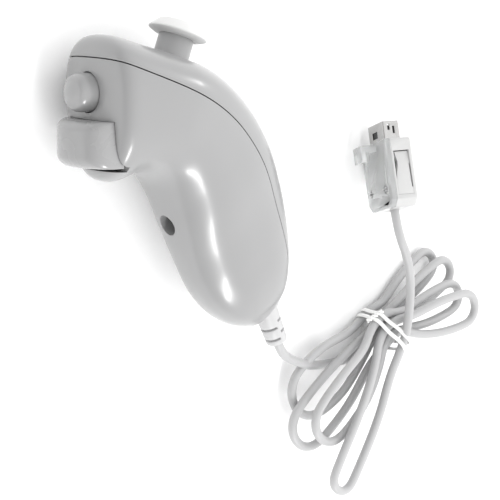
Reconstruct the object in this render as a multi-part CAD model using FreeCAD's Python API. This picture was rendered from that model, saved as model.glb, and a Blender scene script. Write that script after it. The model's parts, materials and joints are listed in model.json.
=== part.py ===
# One-handed motion game controller with its cord and plug, in millimetres.
# The controller lies on its right side: its front looks along -X, the stick points along +Y,
# and its left side is up, along +Z.  Everything is drawn round the case's own centre plane
# and moved to the floor at the end by row_shift.
import FreeCAD, Part
import math
import os

V = FreeCAD.Vector
os.makedirs("parts", exist_ok=True)
pieces = {}

# Driving sizes.
wall = 2.0                  # case wall
case_half_width = 19.2      # widest half of the head
slide_gap = 0.35            # gap round a moving button in its opening
seat_gap = 0.05             # running clearance of a pin in its bore
row_shift = V(-12.44, 5.56, case_half_width)

# Stations down the grip: back point and front point in side view, then the half width.
stations = [
    ((-33.0, 24.1), (-17.7, -14.8), 17.0),
    ((-21.5, 24.7), (-13.5, -10.8), 18.4),
    ((-9.2, 25.9), (-8.6, -9.6), case_half_width),
    ((3.4, 24.9), (-3.4, -11.3), 18.7),
    ((15.7, 20.6), (2.2, -16.3), 17.8),
    ((27.0, 13.4), (8.4, -23.1), 16.7),
    ((36.5, 4.1), (15.5, -30.6), 14.7),
    ((43.8, -6.1), (22.9, -37.4), 13.7),
    ((49.1, -16.0), (31.0, -42.0), 12.5),
    ((52.5, -24.8), (39.5, -43.8), 9.5),
    ((53.8, -31.8), (47.7, -42.5), 4.5),
]
section_power = 2.4         # 2 is an ellipse, more is squarer
egg = 0.12                  # the section is this much wider at its back
egg_swell = 1.0113          # keeps the half width the true widest point
section_points = 12
between_stations = 2        # extra sections drawn between two stations
face_round = 5.0            # rounding of the front face in side view
face_side_round = 8.0       # and in plan
face_dome = 1.2
face_tilt = math.radians(20)

# The front face's own axes: outward, up along it and to the left, from the button's centre.
face_out = V(-math.cos(face_tilt), -math.sin(face_tilt), 0)
face_up = V(-math.sin(face_tilt), math.cos(face_tilt), 0)
left = V(0, 0, 1)
up = V(0, 1, 0)
back = V(1, 0, 0)
button_centre = V(-36.0, 5.8, 0)

# The line where the two shells meet, in side view, from the front to the tail.
parting_points = [(-50, 14.4), (-30, 14.4), (-10, 14.2), (3, 12.2), (14, 8.0), (25, 1.0),
                  (35, -8.4), (45, -18.8), (50, -27.5), (52.4, -36), (54, -50)]


def at_face(out, along, side):
    # A point given in the front face's own axes.
    return button_centre + face_out * out + face_up * along + left * side


def signed_power(value, power):
    return math.copysign(abs(value) ** power, value)


def box(x0, x1, y0, y1, z0, z1):
    return Part.makeBox(x1 - x0, y1 - y0, z1 - z0, V(x0, y0, z0))


def rod(start, direction, radius, length):
    return Part.makeCylinder(radius, length, start, direction)


def block_in(origin, x_axis, y_axis, z_axis, lows, highs):
    # A box between two corners given in its own axes.
    corner = origin + x_axis * lows[0] + y_axis * lows[1] + z_axis * lows[2]
    across, along, deep = (x_axis * (highs[0] - lows[0]), y_axis * (highs[1] - lows[1]),
                           z_axis * (highs[2] - lows[2]))
    outline = [corner, corner + across, corner + across + along, corner + along, corner]
    return Part.Face(Part.makePolygon(outline)).extrude(deep)


def to_axes(shape, origin, x_axis, y_axis, z_axis):
    matrix = FreeCAD.Matrix(x_axis.x, y_axis.x, z_axis.x, origin.x,
                            x_axis.y, y_axis.y, z_axis.y, origin.y,
                            x_axis.z, y_axis.z, z_axis.z, origin.z,
                            0, 0, 0, 1)
    moved = shape.copy()
    moved.Placement = FreeCAD.Placement(matrix).multiply(moved.Placement)
    return moved


def fuse_all(shapes):
    result = shapes[0]
    for shape in shapes[1:]:
        result = result.fuse(shape)
    return result.removeSplitter()


def keep(name, shape):
    pieces[name] = shape


# The two shells of the case.
def section(back_point, front_point, half_width, forward=0.0, count=section_points):
    # One closed section: a squared ellipse, a little wider towards the back of the grip.
    middle = V((back_point[0] + front_point[0]) / 2, (back_point[1] + front_point[1]) / 2, 0)
    arm = V((back_point[0] - front_point[0]) / 2, (back_point[1] - front_point[1]) / 2, 0)
    middle = middle + face_out * forward
    points = []
    for i in range(count):
        turn = 2 * math.pi * i / count
        along = signed_power(math.cos(turn), 2 / section_power)
        side = signed_power(math.sin(turn), 2 / section_power) * (1 + egg * math.cos(turn)) / egg_swell
        points.append(middle + arm * along + left * (half_width * side))
    curve = Part.BSplineCurve()
    curve.interpolate(points, PeriodicFlag=True)
    return Part.Wire([curve.toShape()])


def blended(before, start, end, after, t):
    # A value on the smooth curve from start to end, t from 0 to 1.
    return 0.5 * (2 * start + (end - before) * t + (2 * before - 5 * start + 4 * end - after) * t * t
                  + (3 * start - before - 3 * end + after) * t ** 3)


def grip_stations(between):
    # The stations with smooth in-between ones.
    flat = [(b[0], b[1], f[0], f[1], half) for b, f, half in stations]
    rows = []
    for i in range(len(flat) - 1):
        near = [flat[max(i - 1, 0)], flat[i], flat[i + 1], flat[min(i + 2, len(flat) - 1)]]
        for step in range(between + 1):
            t = step / (between + 1)
            rows.append([blended(*values, t) for values in zip(*near)])
    rows.append(list(flat[-1]))
    return [((bx, by), (fx, fy), half) for bx, by, fx, fy, half in rows]


def inset_station(station, end_inset, side_inset):
    (bx, by), (fx, fy), half_width = station
    length = math.hypot(bx - fx, by - fy)
    ux, uy = (bx - fx) / length * end_inset, (by - fy) / length * end_inset
    return (bx - ux, by - uy), (fx + ux, fy + uy), half_width - side_inset


def case_solid(inset, between, count):
    # The whole grip as one loft.  The inset draws every section in by a wall.
    sections = []
    first = stations[0]
    height = math.hypot(first[0][0] - first[1][0], first[0][1] - first[1][1])
    for scale in (0.3, 0.65):
        crown = face_round + face_dome * (1 - scale * scale)
        end_inset = (height / 2) * (1 - scale) + face_round * scale
        side_inset = first[2] - (first[2] - face_side_round) * scale
        small = inset_station(first, end_inset + inset * scale, side_inset + inset * scale)
        sections.append(section(*small, forward=crown - inset, count=count))
    for degrees in (75, 38):
        turn = math.radians(degrees)
        drawn = inset_station(first, face_round * (1 - math.cos(turn)) + inset,
                              face_side_round * (1 - math.cos(turn)) + inset)
        sections.append(section(*drawn, forward=(face_round - inset) * math.sin(turn), count=count))
    for station in grip_stations(between):
        sections.append(section(*inset_station(station, inset, inset), count=count))
    return Part.makeLoft(sections, True, True)


def parting_region():
    # Everything on the back side of the parting line.
    curve = Part.BSplineCurve()
    curve.interpolate([V(x, y, -30) for x, y in parting_points])
    start, end = parting_points[0], parting_points[-1]
    far = [V(end[0], end[1], -30), V(90, end[1], -30), V(90, 60, -30), V(start[0], 60, -30),
           V(start[0], start[1], -30)]
    wire = Part.Wire([curve.toShape()] + [Part.makeLine(a, b) for a, b in zip(far, far[1:])])
    return Part.Face(wire).extrude(V(0, 0, 60))


outer = case_solid(0.0, between_stations, section_points)
inner = case_solid(wall, 0, 8)
region = parting_region()


# The thumbstick and its module.
stick_pivot = V(-9.0, 14.5, 0)
stem_radius = 5.2
cap_radius = 8.7
cap_low = 31.2              # heights of the cap's rim and crown in side view
cap_high = 35.6
cap_bevel = 2.3
cap_under_round = 0.7
dish_reach = 6.4
dish_depth = 0.9
dome_radius = 12.0
dome_wall = 1.0
dome_reach = math.radians(53)
gate_inradius = 9.5
shaft_radius = 1.5
pin_radius = 1.0
housing_half = 6.0
housing_wall = 1.0
board_top = 8.2
board_thick = 1.2
housing_top = board_top + 9.1
arch_in = 3.3
arch_out = 4.5


def stick_cap():
    # A bevelled cap with a shallow thumb dish and a socket underneath for the stem.
    base = V(stick_pivot.x, 0, 0)
    low, high = base + up * cap_low, base + up * cap_high
    body = rod(low, up, cap_radius, cap_high - cap_low)
    top_edge = [e for e in body.Edges if e.Closed and abs(e.BoundBox.Center.y - cap_high) < 0.01]
    body = body.makeFillet(cap_bevel, top_edge)
    body = body.makeFillet(cap_under_round, [e for e in body.Edges if e.Closed
                                             and abs(e.BoundBox.Center.y - cap_low) < 0.01])
    dish_radius = (dish_reach ** 2 + dish_depth ** 2) / (2 * dish_depth)
    dish = Part.makeSphere(dish_radius, high + up * (dish_radius - dish_depth))
    body = body.cut(dish)
    keep("stick_cap", body.cut(rod(low - up, up, stem_radius - 1.2, 2.8)))


def stick_stem():
    # The stem and the dome that hides the gate's opening, in one piece.
    hub_radius, hub_low = 3.0, stick_pivot.y + 7.0
    ball = Part.makeSphere(dome_radius, stick_pivot).cut(Part.makeSphere(dome_radius - dome_wall, stick_pivot))
    reach = dome_radius * 1.5
    cone = Part.makeCone(0, reach * math.tan(dome_reach), reach, stick_pivot, up)
    dome = ball.common(cone)
    stem_low = stick_pivot.y + dome_radius - 1.2
    base = V(stick_pivot.x, 0, 0)
    stem = rod(base + up * stem_low, up, stem_radius, cap_low + 0.6 - stem_low)
    plug = rod(base + up * (cap_low + 0.6), up, stem_radius - 1.2, 1.2)
    hub = rod(base + up * hub_low, up, hub_radius, dome_radius - 6.5)
    socket = rod(base + up * (hub_low - 1), up, shaft_radius, 8.5)
    keep("stick_stem", fuse_all([dome, stem, plug, hub]).cut(socket))


def stick_shaft():
    # The rod from the cross pin up into the stem, with its cross pin along the grip.
    base = V(stick_pivot.x, 0, 0)
    shaft = rod(base + up * (stick_pivot.y - 3.0), up, shaft_radius, 10.0 + 4.5)
    pin = rod(stick_pivot - back * 2.7, back, 0.8, 5.4)
    keep("stick_shaft", shaft.fuse(pin))


def stick_gimbal():
    # The lower arm: a slotted block turning on pins that reach into the housing's sides.
    x, y = stick_pivot.x, stick_pivot.y
    block = box(x - 2.3, x + 2.3, y - 1.6, y + 1.6, -4.4, 4.4)
    slot = box(x - shaft_radius - 0.1, x + shaft_radius + 0.1, y - 2, y + 2, -2.5, 2.5)
    cross = rod(stick_pivot - back * 3, back, 0.8 + seat_gap, 6)
    pins = rod(stick_pivot - left * 6.6, left, pin_radius, 13.2)
    between = box(x - 2.3, x + 2.3, y - 2, y + 2, -2.6, 2.6)
    keep("stick_gimbal", block.fuse(pins.cut(between)).cut(slot).cut(cross))


def stick_upper_arm():
    # The upper arm: an arch over the gimbal with a slot that the shaft slides along.
    ring = rod(stick_pivot - left * 2.6, left, arch_out, 5.2).cut(
        rod(stick_pivot - left * 3, left, arch_in, 6))
    x, y = stick_pivot.x, stick_pivot.y
    upper = ring.common(box(x - 5, x + 5, y + 0.9, y + 6, -3, 3))
    slot = box(x - 2.95, x + 2.95, y, y + 6, -shaft_radius - 0.08, shaft_radius + 0.08)
    ends = []
    for side in (-1, 1):
        plate = box(min(side * 3.5, side * 4.6) + x, max(side * 3.5, side * 4.6) + x,
                    y - 1.8, y + 1.6, -2.0, 2.0)
        ends.append(plate)
        ends.append(rod(stick_pivot + back * (side * 4.4), back * side, pin_radius, 2.2))
    keep("stick_upper_arm", fuse_all([upper.cut(slot)] + ends))


def joystick_housing():
    # The open-topped metal box round the arms, with four bores for their pins.
    x, y = stick_pivot.x, stick_pivot.y
    outside = box(x - housing_half, x + housing_half, board_top, housing_top, -housing_half, housing_half)
    room = housing_half - housing_wall
    inside = box(x - room, x + room, board_top + 1.0, housing_top + 1, -room, room)
    bore = pin_radius + seat_gap
    across = rod(stick_pivot - left * 8, left, bore, 16)
    along = rod(stick_pivot - back * 8, back, bore, 16)
    keep("joystick_housing", outside.cut(inside).cut(across).cut(along))


def position_sensor(name, direction):
    # One rotary sensor on the module's side, with a hole for the arm's pin and three legs.
    x, y = stick_pivot.x, stick_pivot.y
    start = V(x, 0, 0) + direction * housing_half
    across = back if direction.z else left
    body = block_in(V(start.x, y, start.z), across, up, across.cross(up),
                    (-4.0, -3.2, 0), (4.0, 2.8, 2.6))
    if (across.cross(up)).dot(direction) < 0:
        body = block_in(V(start.x, y, start.z), across, up, across.cross(up),
                        (-4.0, -3.2, -2.6), (4.0, 2.8, 0))
    body = body.makeFillet(0.5, [e for e in body.Edges if abs(e.tangentAt(e.FirstParameter).dot(direction)) > 0.9])
    body = body.cut(rod(stick_pivot + direction * (housing_half - 1), direction, pin_radius + 0.3, 2.0))
    legs = []
    for place in (-2.5, 0, 2.5):
        foot = V(start.x, board_top, start.z) + direction * 1.3 + across * place
        legs.append(block_in(foot, across, up, across.cross(up), (-0.4, 0, -0.2), (0.4, y - 3.2 - board_top, 0.2)))
    keep(name, fuse_all([body] + legs))


# The boards and what is on them.
board_front = -15.2
board_back = 13.0
board_half = 14.9
post_radius = 2.1
board_posts = [(-13.2, 13.0), (-13.2, -13.0), (9.5, 12.0), (9.5, -12.0)]
small_screw_radius = 0.9
small_head_radius = 1.8


def screw(point, direction, head_radius, head_height, shank_radius, shank_length):
    # A cross-recessed screw whose head seats at point, its shank along direction.
    head = rod(point - direction * head_height, direction, head_radius, head_height)
    shank = rod(point, direction, shank_radius, shank_length - shank_radius)
    tip = Part.makeCone(shank_radius, shank_radius * 0.3, shank_radius,
                        point + direction * (shank_length - shank_radius), direction)
    body = fuse_all([head, shank, tip])
    long, short = head_radius * 0.65, head_radius * 0.14
    for half_x, half_y in ((long, short), (short, long)):
        body = body.cut(block_in(point - direction * head_height, *cross_axes(direction),
                                 (-half_x, -half_y, -0.1), (half_x, half_y, head_height * 0.5)))
    return body


def cross_axes(direction):
    first = direction.cross(V(0, 0, 1))
    if first.Length < 0.1:
        first = direction.cross(V(0, 1, 0))
    first.normalize()
    second = direction.cross(first)
    return first, second, direction


def main_board():
    board = box(board_front, board_back, board_top - board_thick, board_top, -board_half, board_half)
    corners = [e for e in board.Edges if abs(e.tangentAt(e.FirstParameter).y) > 0.9]
    board = board.makeFillet(2.0, corners)
    for x, z in board_posts:
        board = board.cut(rod(V(x, 0, z), up, small_screw_radius + 0.2, 20))
    keep("main_board", board)


def board_screws():
    screws = [screw(V(x, board_top - board_thick, z), up, small_head_radius, 1.2, small_screw_radius, 6.0)
              for x, z in board_posts]
    keep("board_screws", Part.makeCompound(screws))


def chip(name, x0, x1, z0, z1, height, pins_per_side):
    # A chip on the board's underside with gull legs on two sides.
    top = board_top - board_thick
    body = box(x0, x1, top - height, top - 0.1, z0, z1)
    body = body.makeChamfer(0.2, [e for e in body.Edges if abs(e.BoundBox.Center.y - (top - height)) < 1e-6])
    legs = []
    pitch = (x1 - x0) / pins_per_side
    for i in range(pins_per_side):
        x = x0 + pitch * (i + 0.5)
        for side, z in ((-1, z0), (1, z1)):
            legs.append(box(x - pitch * 0.2, x + pitch * 0.2, top - 0.3, top,
                            min(z - side * 0.3, z + side * 0.7), max(z - side * 0.3, z + side * 0.7)))
    keep(name, fuse_all([body] + legs))


def cable_connector():
    # The white socket at the board's rear edge that the cord's wires plug into.
    x0, x1 = board_back - 5.0, board_back
    low = board_top - board_thick
    body = box(x0, x1, low - 4.0, low, -5.0, 5.0)
    hollow = box(x0 + 1.2, x1 + 1, low - 3.3, low - 0.8, -4.2, 4.2)
    keyway = box(x0 + 2.5, x1 + 1, low - 4.5, low - 3.0, -1.2, 1.2)
    keep("cable_connector", body.cut(hollow).cut(keyway))


switch_plane = -10.6        # the switch board's front, measured in from the button's face
switch_height = 3.6
switch_places = [(0.0, 0.0), (-15.6, 0.0)]
switch_board_screws_at = [(0.0, 9.4), (0.0, -9.4)]
switch_board_wide = 11.6    # half width beside the round button, where its screws are
switch_board_narrow = 6.2   # half width below, between the trigger's arms
switch_board_step = -3.0    # height of the change of width
switch_board_ends = (-19.0, 5.5)
switch_half = 2.6


def switch_board():
    low, high = switch_board_ends
    rear = switch_plane - board_thick
    wide = block_in(button_centre, face_out, face_up, left,
                    (rear, switch_board_step, -switch_board_wide), (switch_plane, high, switch_board_wide))
    narrow = block_in(button_centre, face_out, face_up, left,
                      (rear, low, -switch_board_narrow), (switch_plane, switch_board_step, switch_board_narrow))
    board = fuse_all([wide, narrow])
    for along, side in switch_board_screws_at:
        board = board.cut(rod(at_face(switch_plane - 3, along, side), face_out, small_screw_radius + 0.2, 5))
    keep("switch_board", board)


def switch_board_screws():
    screws = [screw(at_face(switch_plane - board_thick, along, side), face_out,
                    small_head_radius, 1.2, small_screw_radius, 4.4) for along, side in switch_board_screws_at]
    keep("switch_board_screws", Part.makeCompound(screws))


def contact_switches():
    # Two square push switches under the round button and the trigger.
    switches = []
    for along, side in switch_places:
        body = block_in(at_face(switch_plane, along, side), face_up, left, face_out,
                        (-switch_half, -switch_half, 0), (switch_half, switch_half, switch_height - 0.7))
        body = body.makeFillet(0.4, [e for e in body.Edges
                                     if abs(e.tangentAt(e.FirstParameter).dot(face_out)) > 0.9])
        switches.append(body.fuse(rod(at_face(switch_plane + 1, along, side), face_out, 1.6, switch_height - 1.0)))
    keep("contact_switches", Part.makeCompound(switches))


# The round button and the trigger.
button_radius = 5.45
button_travel = 1.0
button_crown = 0.5
button_bevel = 0.6
flange_front = -6.6
flange_thick = 1.0


def round_button():
    # A crowned button with a flange that stays behind the case wall.
    low = flange_front - flange_thick
    body = rod(at_face(low, 0, 0), face_out, button_radius, button_crown - low)
    crown_radius = (button_radius ** 2 + button_crown ** 2) / (2 * button_crown)
    crown = Part.makeSphere(crown_radius, at_face(button_crown - crown_radius, 0, 0))
    body = body.common(crown)
    rim = [e for e in body.Edges if abs((e.BoundBox.Center - button_centre).dot(face_out)) < 0.3
           and e.Length > button_radius * 5]
    body = body.makeChamfer(button_bevel, rim)
    flange = rod(at_face(low, 0, 0), face_out, button_radius + 1.0, flange_thick)
    hollow = rod(at_face(low - 1, 0, 0), face_out, button_radius - 1.6, -low - 0.6)
    stop = switch_plane + switch_height + button_travel + 0.1
    stem = rod(at_face(stop, 0, 0), face_out, 1.8, -1 - stop)
    keep("round_button", body.fuse(flange).cut(hollow).fuse(stem).removeSplitter())


trigger_half = 11.0
trigger_top = -7.6
trigger_low = -20.6
trigger_front = 3.9
trigger_back = -7.0
trigger_wall = 1.6
trigger_turn = 7.0          # degrees of press
pivot_out = -9.4
pivot_along = -8.2
trigger_pin_radius = 1.0
trigger_pin_length = 26.0
pin_post_radius = 2.0
trigger_eye = 1.9           # radius of the eye round the pin
arm_places = (8.0, -8.0)
arm_half = 1.0
trigger_front_radius = 15.0
trigger_corner_radius = 5.5
trigger_edge_round = 1.6


def trigger_outline(front, rear, half, corner, along):
    # The trigger seen along the grip's height: straight sides, two round corners, a domed front.
    # The corner's arc touches the side line and the front arc, which fixes its centre.
    dome_middle = front - trigger_front_radius
    reach = math.sqrt((trigger_front_radius - corner) ** 2 - (half - corner) ** 2)
    corner_out = dome_middle + reach
    lean = math.atan2(half - corner, reach)
    touch_out = dome_middle + trigger_front_radius * math.cos(lean)
    touch_side = trigger_front_radius * math.sin(lean)
    mid_turn = (lean + math.pi / 2) / 2
    mid_out = corner_out + corner * math.cos(mid_turn)
    mid_side = half - corner + corner * math.sin(mid_turn)

    def at(out, side):
        return at_face(out, along, side)
    return [
        Part.makeLine(at(rear, half), at(corner_out, half)),
        Part.Arc(at(corner_out, half), at(mid_out, mid_side), at(touch_out, touch_side)).toShape(),
        Part.Arc(at(touch_out, touch_side), at(front, 0), at(touch_out, -touch_side)).toShape(),
        Part.Arc(at(touch_out, -touch_side), at(mid_out, -mid_side), at(corner_out, -half)).toShape(),
        Part.makeLine(at(corner_out, -half), at(rear, -half)),
        Part.makeLine(at(rear, -half), at(rear, half)),
    ]


def plan_solid(front, rear, half, corner, low, high):
    return Part.Face(Part.Wire(trigger_outline(front, rear, half, corner, low))).extrude(face_up * (high - low))


def trigger():
    body = plan_solid(trigger_front, trigger_back, trigger_half, trigger_corner_radius, trigger_low, trigger_top)
    rims = [e for e in body.Edges if e.Curve.TypeId == "Part::GeomCircle"]
    rounded = body.makeFillet(trigger_edge_round, rims)
    hollow = plan_solid(trigger_front - trigger_wall, trigger_back - 1, trigger_half - trigger_wall,
                        trigger_corner_radius - trigger_wall,
                        trigger_low + trigger_wall, trigger_top - trigger_wall)
    shell = rounded.cut(hollow)
    arms = []
    pivot = at_face(pivot_out, pivot_along, 0)
    for side in arm_places:
        arm = block_in(at_face(0, 0, side), face_out, face_up, left,
                       (pivot_out, pivot_along - trigger_eye, -arm_half), (trigger_front - 3.0, trigger_top - 0.8, arm_half))
        eye = rod(at_face(pivot_out, pivot_along, side - arm_half), left, trigger_eye, 2 * arm_half)
        arms += [arm, eye]
    press = math.radians(trigger_turn)
    reach = switch_plane + switch_height + 0.2 + math.sin(press) * (pivot_along - switch_places[1][0])
    pusher = block_in(at_face(0, 0, 0), face_out, face_up, left,
                      (reach, switch_places[1][0] - 1.2, -4.0), (trigger_front - 2.0, switch_places[1][0] + 1.2, 4.0))
    bore = rod(pivot - left * 12, left, trigger_pin_radius + seat_gap, 24)
    keep("trigger", fuse_all([shell, pusher] + arms).cut(bore))


def trigger_pin():
    keep("trigger_pin", rod(at_face(pivot_out, pivot_along, -trigger_pin_length / 2), left,
                            trigger_pin_radius, trigger_pin_length))


# Screws, bosses and openings of the case.
grip_screw_at = V(6.6, -21.1, 0)
grip_screw_axis = V(0.74, 0.673, 0).normalize()
head_screw_at = V(-12.2, -10.9, 0)
head_screw_axis = face_up
screw_well = 3.3            # radius of the well over each case screw
case_screw_radius = 1.2
case_head_radius = 2.4


def case_screw_seats():
    # Each case screw's place outside, its axis, how deep its head seats and its post's radius.
    return [(grip_screw_at, grip_screw_axis, 14.0, 3.0), (head_screw_at, head_screw_axis, 6.0, 2.5)]


def case_screws():
    screws = [screw(point + axis * depth, axis, case_head_radius, 1.8, case_screw_radius, 9.0)
              for point, axis, depth, post in case_screw_seats()]
    keep("case_screws", Part.makeCompound(screws))


relief_axis = V(0.70, -0.714, 0).normalize()
relief_start = V(53.6, -37.6, 0)      # where it leaves the case
relief_out = 9.8
relief_radius = 3.75
relief_tip_radius = 3.35
relief_inside = 7.0
cord_radius = 1.5
cord_flats = 8              # flats round the cord's solid
clamp_in = 11.5             # the clamp's middle, inwards from where the strain relief leaves the case
clamp_half = 2.0
clamp_thick = 3.2
clamp_screw_side = 4.6
clamp_normal = relief_axis.cross(left)      # towards the front wall of the grip


def at_clamp(along, out, side):
    return relief_start - relief_axis * (clamp_in + along) + clamp_normal * out + left * side


rib_thick = 1.2
rib_stand = 3.0             # how far a rib stands in from the wall
rib_stations = (5, 7, 8)    # the grip stations that carry a rib


def grip_ribs():
    # Thin frames across the grip, each open in the middle for the wires and the cord.
    ribs = []
    for index in rib_stations:
        (bx, by), (fx, fy), half = stations[index]
        middle = V((bx + fx) / 2, (by + fy) / 2, 0)
        arm = V(bx - fx, by - fy, 0)
        reach = arm.Length / 2
        arm.normalize()
        down = arm.cross(left)
        plate = block_in(middle, arm, left, down, (-reach - 1, -half - 1, 0), (reach + 1, half + 1, rib_thick))
        room, room_side = reach - wall - rib_stand, half - wall - rib_stand
        ribs.append(plate.cut(block_in(middle, arm, left, down, (-room, -room_side, -1), (room, room_side, 3))))
    return Part.makeCompound(ribs)


def case_shells():
    # Each shell is the case less the cavity, where the cavity leaves that shell's posts standing.
    top_posts, low_posts = [], []
    for x, z in board_posts:
        top_posts.append(rod(V(x, board_top, z), up, post_radius, 25))
    for point, axis, depth, post in case_screw_seats():
        seat_end = depth + 2.2
        low_posts.append(rod(point - axis * 4, axis, screw_well + 1.3, 4 + seat_end))
        top_posts.append(rod(point + axis * seat_end, axis, post, 50))
    for side in (-1, 1):
        low_posts.append(rod(at_face(pivot_out, pivot_along, side * 10.2), left * side, pin_post_radius, 12))
    for along, side in switch_board_screws_at:
        low_posts.append(rod(at_face(switch_plane, along, side), face_out, 1.9, 12))
    for side in (-1, 1):
        low_posts.append(rod(at_clamp(0, 0, side * clamp_screw_side), clamp_normal, 1.9, 22))
    ribs = grip_ribs()
    keep_clear = Part.makeCompound([rod(point - axis * 4, axis, screw_well + 1.4, 60)
                                    for point, axis, depth, post in case_screw_seats()[:1]])
    top_posts.append(ribs.common(region).cut(keep_clear))
    low_posts.append(ribs.cut(region).cut(keep_clear))
    front_side = box(-60, 100, -70, 70, -40, 40).cut(region)
    top = outer.cut(inner.cut(Part.makeCompound(top_posts)))
    top = top.cut(front_side.cut(Part.makeCompound(top_posts)))
    low = outer.cut(inner.cut(Part.makeCompound(low_posts))).cut(region)
    # The lower shell makes room for the upper shell's screw posts.
    for point, axis, depth, post in case_screw_seats():
        low = low.cut(rod(point - axis * 6, axis, screw_well, 6 + depth))
        low = low.cut(rod(point, axis, case_screw_radius + 0.2, depth + 4))
        top = top.cut(rod(point + axis * (depth + 1), axis, case_screw_radius, 9.5))
    for x, z in board_posts:
        top = top.cut(rod(V(x, board_top - 1, z), up, small_screw_radius, 6.2))
    # The octagonal gate round the stick.
    corners = []
    for i in range(8):
        turn = math.pi / 4 * i
        reach = gate_inradius / math.cos(math.pi / 8)
        corners.append(V(stick_pivot.x, 18, 0) + back * (reach * math.cos(turn)) + left * (reach * math.sin(turn)))
    gate = Part.Face(Part.makePolygon(corners + corners[:1])).extrude(up * 12)
    top = top.cut(gate)
    # The button's and the trigger's openings.
    low = low.cut(rod(at_face(-7.5, 0, 0), face_out, button_radius + slide_gap, 12))
    opening = plan_solid(trigger_front + 3, trigger_back - 1.6, trigger_half + slide_gap, trigger_corner_radius,
                         trigger_low - slide_gap - 0.75, trigger_top + slide_gap)
    low = low.cut(opening)
    low = low.cut(rod(at_face(pivot_out, pivot_along, -trigger_pin_length / 2 - 0.05), left,
                      trigger_pin_radius, trigger_pin_length + 0.1))
    for along, side in switch_board_screws_at:
        low = low.cut(rod(at_face(switch_plane - 1, along, side), face_out, small_screw_radius, 4.6))
    # The strain relief's seat at the tail, shared by both shells.
    seat = rod(relief_start - relief_axis * 6, relief_axis, relief_radius, 12)
    groove = rod(relief_start - relief_axis * 4.5, relief_axis, relief_radius + 1.0, 1.6)
    top = top.cut(seat).cut(groove)
    low = low.cut(seat).cut(groove)
    for side in (-1, 1):
        low = low.cut(rod(at_clamp(0, 0, side * clamp_screw_side), clamp_normal, small_screw_radius, 4.0))
    pieces["top_shell"] = top
    pieces["bottom_shell"] = low


# Strain relief and what holds the cord inside.
def strain_relief():
    # A tapered sleeve with slits that alternate from side to side, so that it can bend.
    start = relief_start - relief_axis * relief_inside
    body = Part.makeCone(relief_radius, relief_tip_radius, relief_out + 1e-3, relief_start, relief_axis)
    sleeve = rod(start, relief_axis, relief_radius, relief_inside)
    flange = rod(relief_start - relief_axis * 4.5, relief_axis, relief_radius + 1.0, 1.6)
    whole = fuse_all([body, sleeve, flange])
    tip = max(whole.Edges, key=lambda e: e.BoundBox.Center.dot(relief_axis) * 1000 - e.Length)
    whole = whole.makeFillet(0.6, [tip])
    for i in range(4):
        side = 1 if i % 2 else -1
        place = relief_start + relief_axis * (1.9 + 1.95 * i)
        slit = block_in(place, relief_axis, left, relief_axis.cross(left),
                        (-0.4, -5.0, 0.4), (0.4, 5.0, 6.0))
        if side < 0:
            slit = block_in(place, relief_axis, left, relief_axis.cross(left),
                            (-0.4, -5.0, -6.0), (0.4, 5.0, -0.4))
        slit = slit.cut(rod(relief_start, relief_axis, cord_radius + 0.75, relief_out))
        whole = whole.cut(slit)
    keep("strain_relief", whole.cut(rod(start - relief_axis, relief_axis, cord_radius,
                                         relief_inside + relief_out + 2)))


def cable_clamp():
    # A bar with a half-round groove that holds the cord down on two posts.
    bar = block_in(at_clamp(0, 0, 0), relief_axis, left, clamp_normal,
                   (-clamp_half, -7.0, -clamp_thick), (clamp_half, 7.0, 0))
    bar = bar.cut(rod(at_clamp(5, 0, 0), relief_axis, cord_radius, 10))
    for side in (-1, 1):
        bar = bar.cut(rod(at_clamp(0, -5, side * clamp_screw_side), clamp_normal, small_screw_radius + 0.15, 8))
    keep("cable_clamp", bar)


def clamp_screws():
    screws = [screw(at_clamp(0, -clamp_thick, side * clamp_screw_side), clamp_normal,
                    small_head_radius, 1.2, small_screw_radius, 6.6) for side in (-1, 1)]
    keep("clamp_screws", Part.makeCompound(screws))


# The cord: free stretches as straight runs joined by arcs, the hank as one wound tube.
floor = -row_shift.z
tie_thick = 0.6
rest = floor + cord_radius + tie_thick + 0.1     # height of the cord's middle where it lies lowest
layer = 3.5                 # pitch of the hank's passes and loops
waist = V(115.6, -31.1, rest)
bundle_turn = math.radians(56)
along_bundle = V(math.cos(bundle_turn), math.sin(bundle_turn), 0)
across_bundle = V(-math.sin(bundle_turn), math.cos(bundle_turn), 0)
tail_leave = math.radians(84)
# Each pass through the tie: its place across and its height, both in layers.
hank_passes = [(-1.5, 0), (1.5, 0), (-0.5, 0.85), (0.5, 0.85), (-1.5, 1.75), (1.5, 2.0), (-0.5, 2.6), (0.5, 2.6),
               (-1.1, 4.0)]
# Each loop between two passes: its bearing in degrees, length, half width and height in layers.
hank_loops = [(62, 35, 6.5, 0), (226, 36, 9.5, 1.1), (52, 36, 6.5, 1.25), (237, 44, 8.5, 2.12),
              (41, 37, 7.0, 2.5), (248, 50, 8.0, 3.8), (31, 42, 8.0, 3.75), (264, 58, 6.5, 5.0)]
belly = 0.58                # where a loop is widest, as a part of its length


def hank_knots():
    # The points and headings that the hank's cord goes through.
    knots = []
    for index, (place, height) in enumerate(hank_passes):
        heading = along_bundle * (1 if index % 2 == 0 else -1)
        if index == len(hank_passes) - 1:
            heading = V(math.cos(tail_leave), math.sin(tail_leave), 0)
        knots.append((waist + across_bundle * (place * layer) + left * (height * layer), heading))
        if index < len(hank_loops):
            bearing, length, half, high = hank_loops[index]
            outward = V(math.cos(math.radians(bearing)), math.sin(math.radians(bearing)), 0)
            sideways = left.cross(outward)
            middle = waist + left * (high * layer)
            knots.append((middle + outward * (belly * length) - sideways * half, outward))
            knots.append((middle + outward * length, sideways))
            knots.append((middle + outward * (belly * length) + sideways * half, outward * -1))
    return knots


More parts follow.
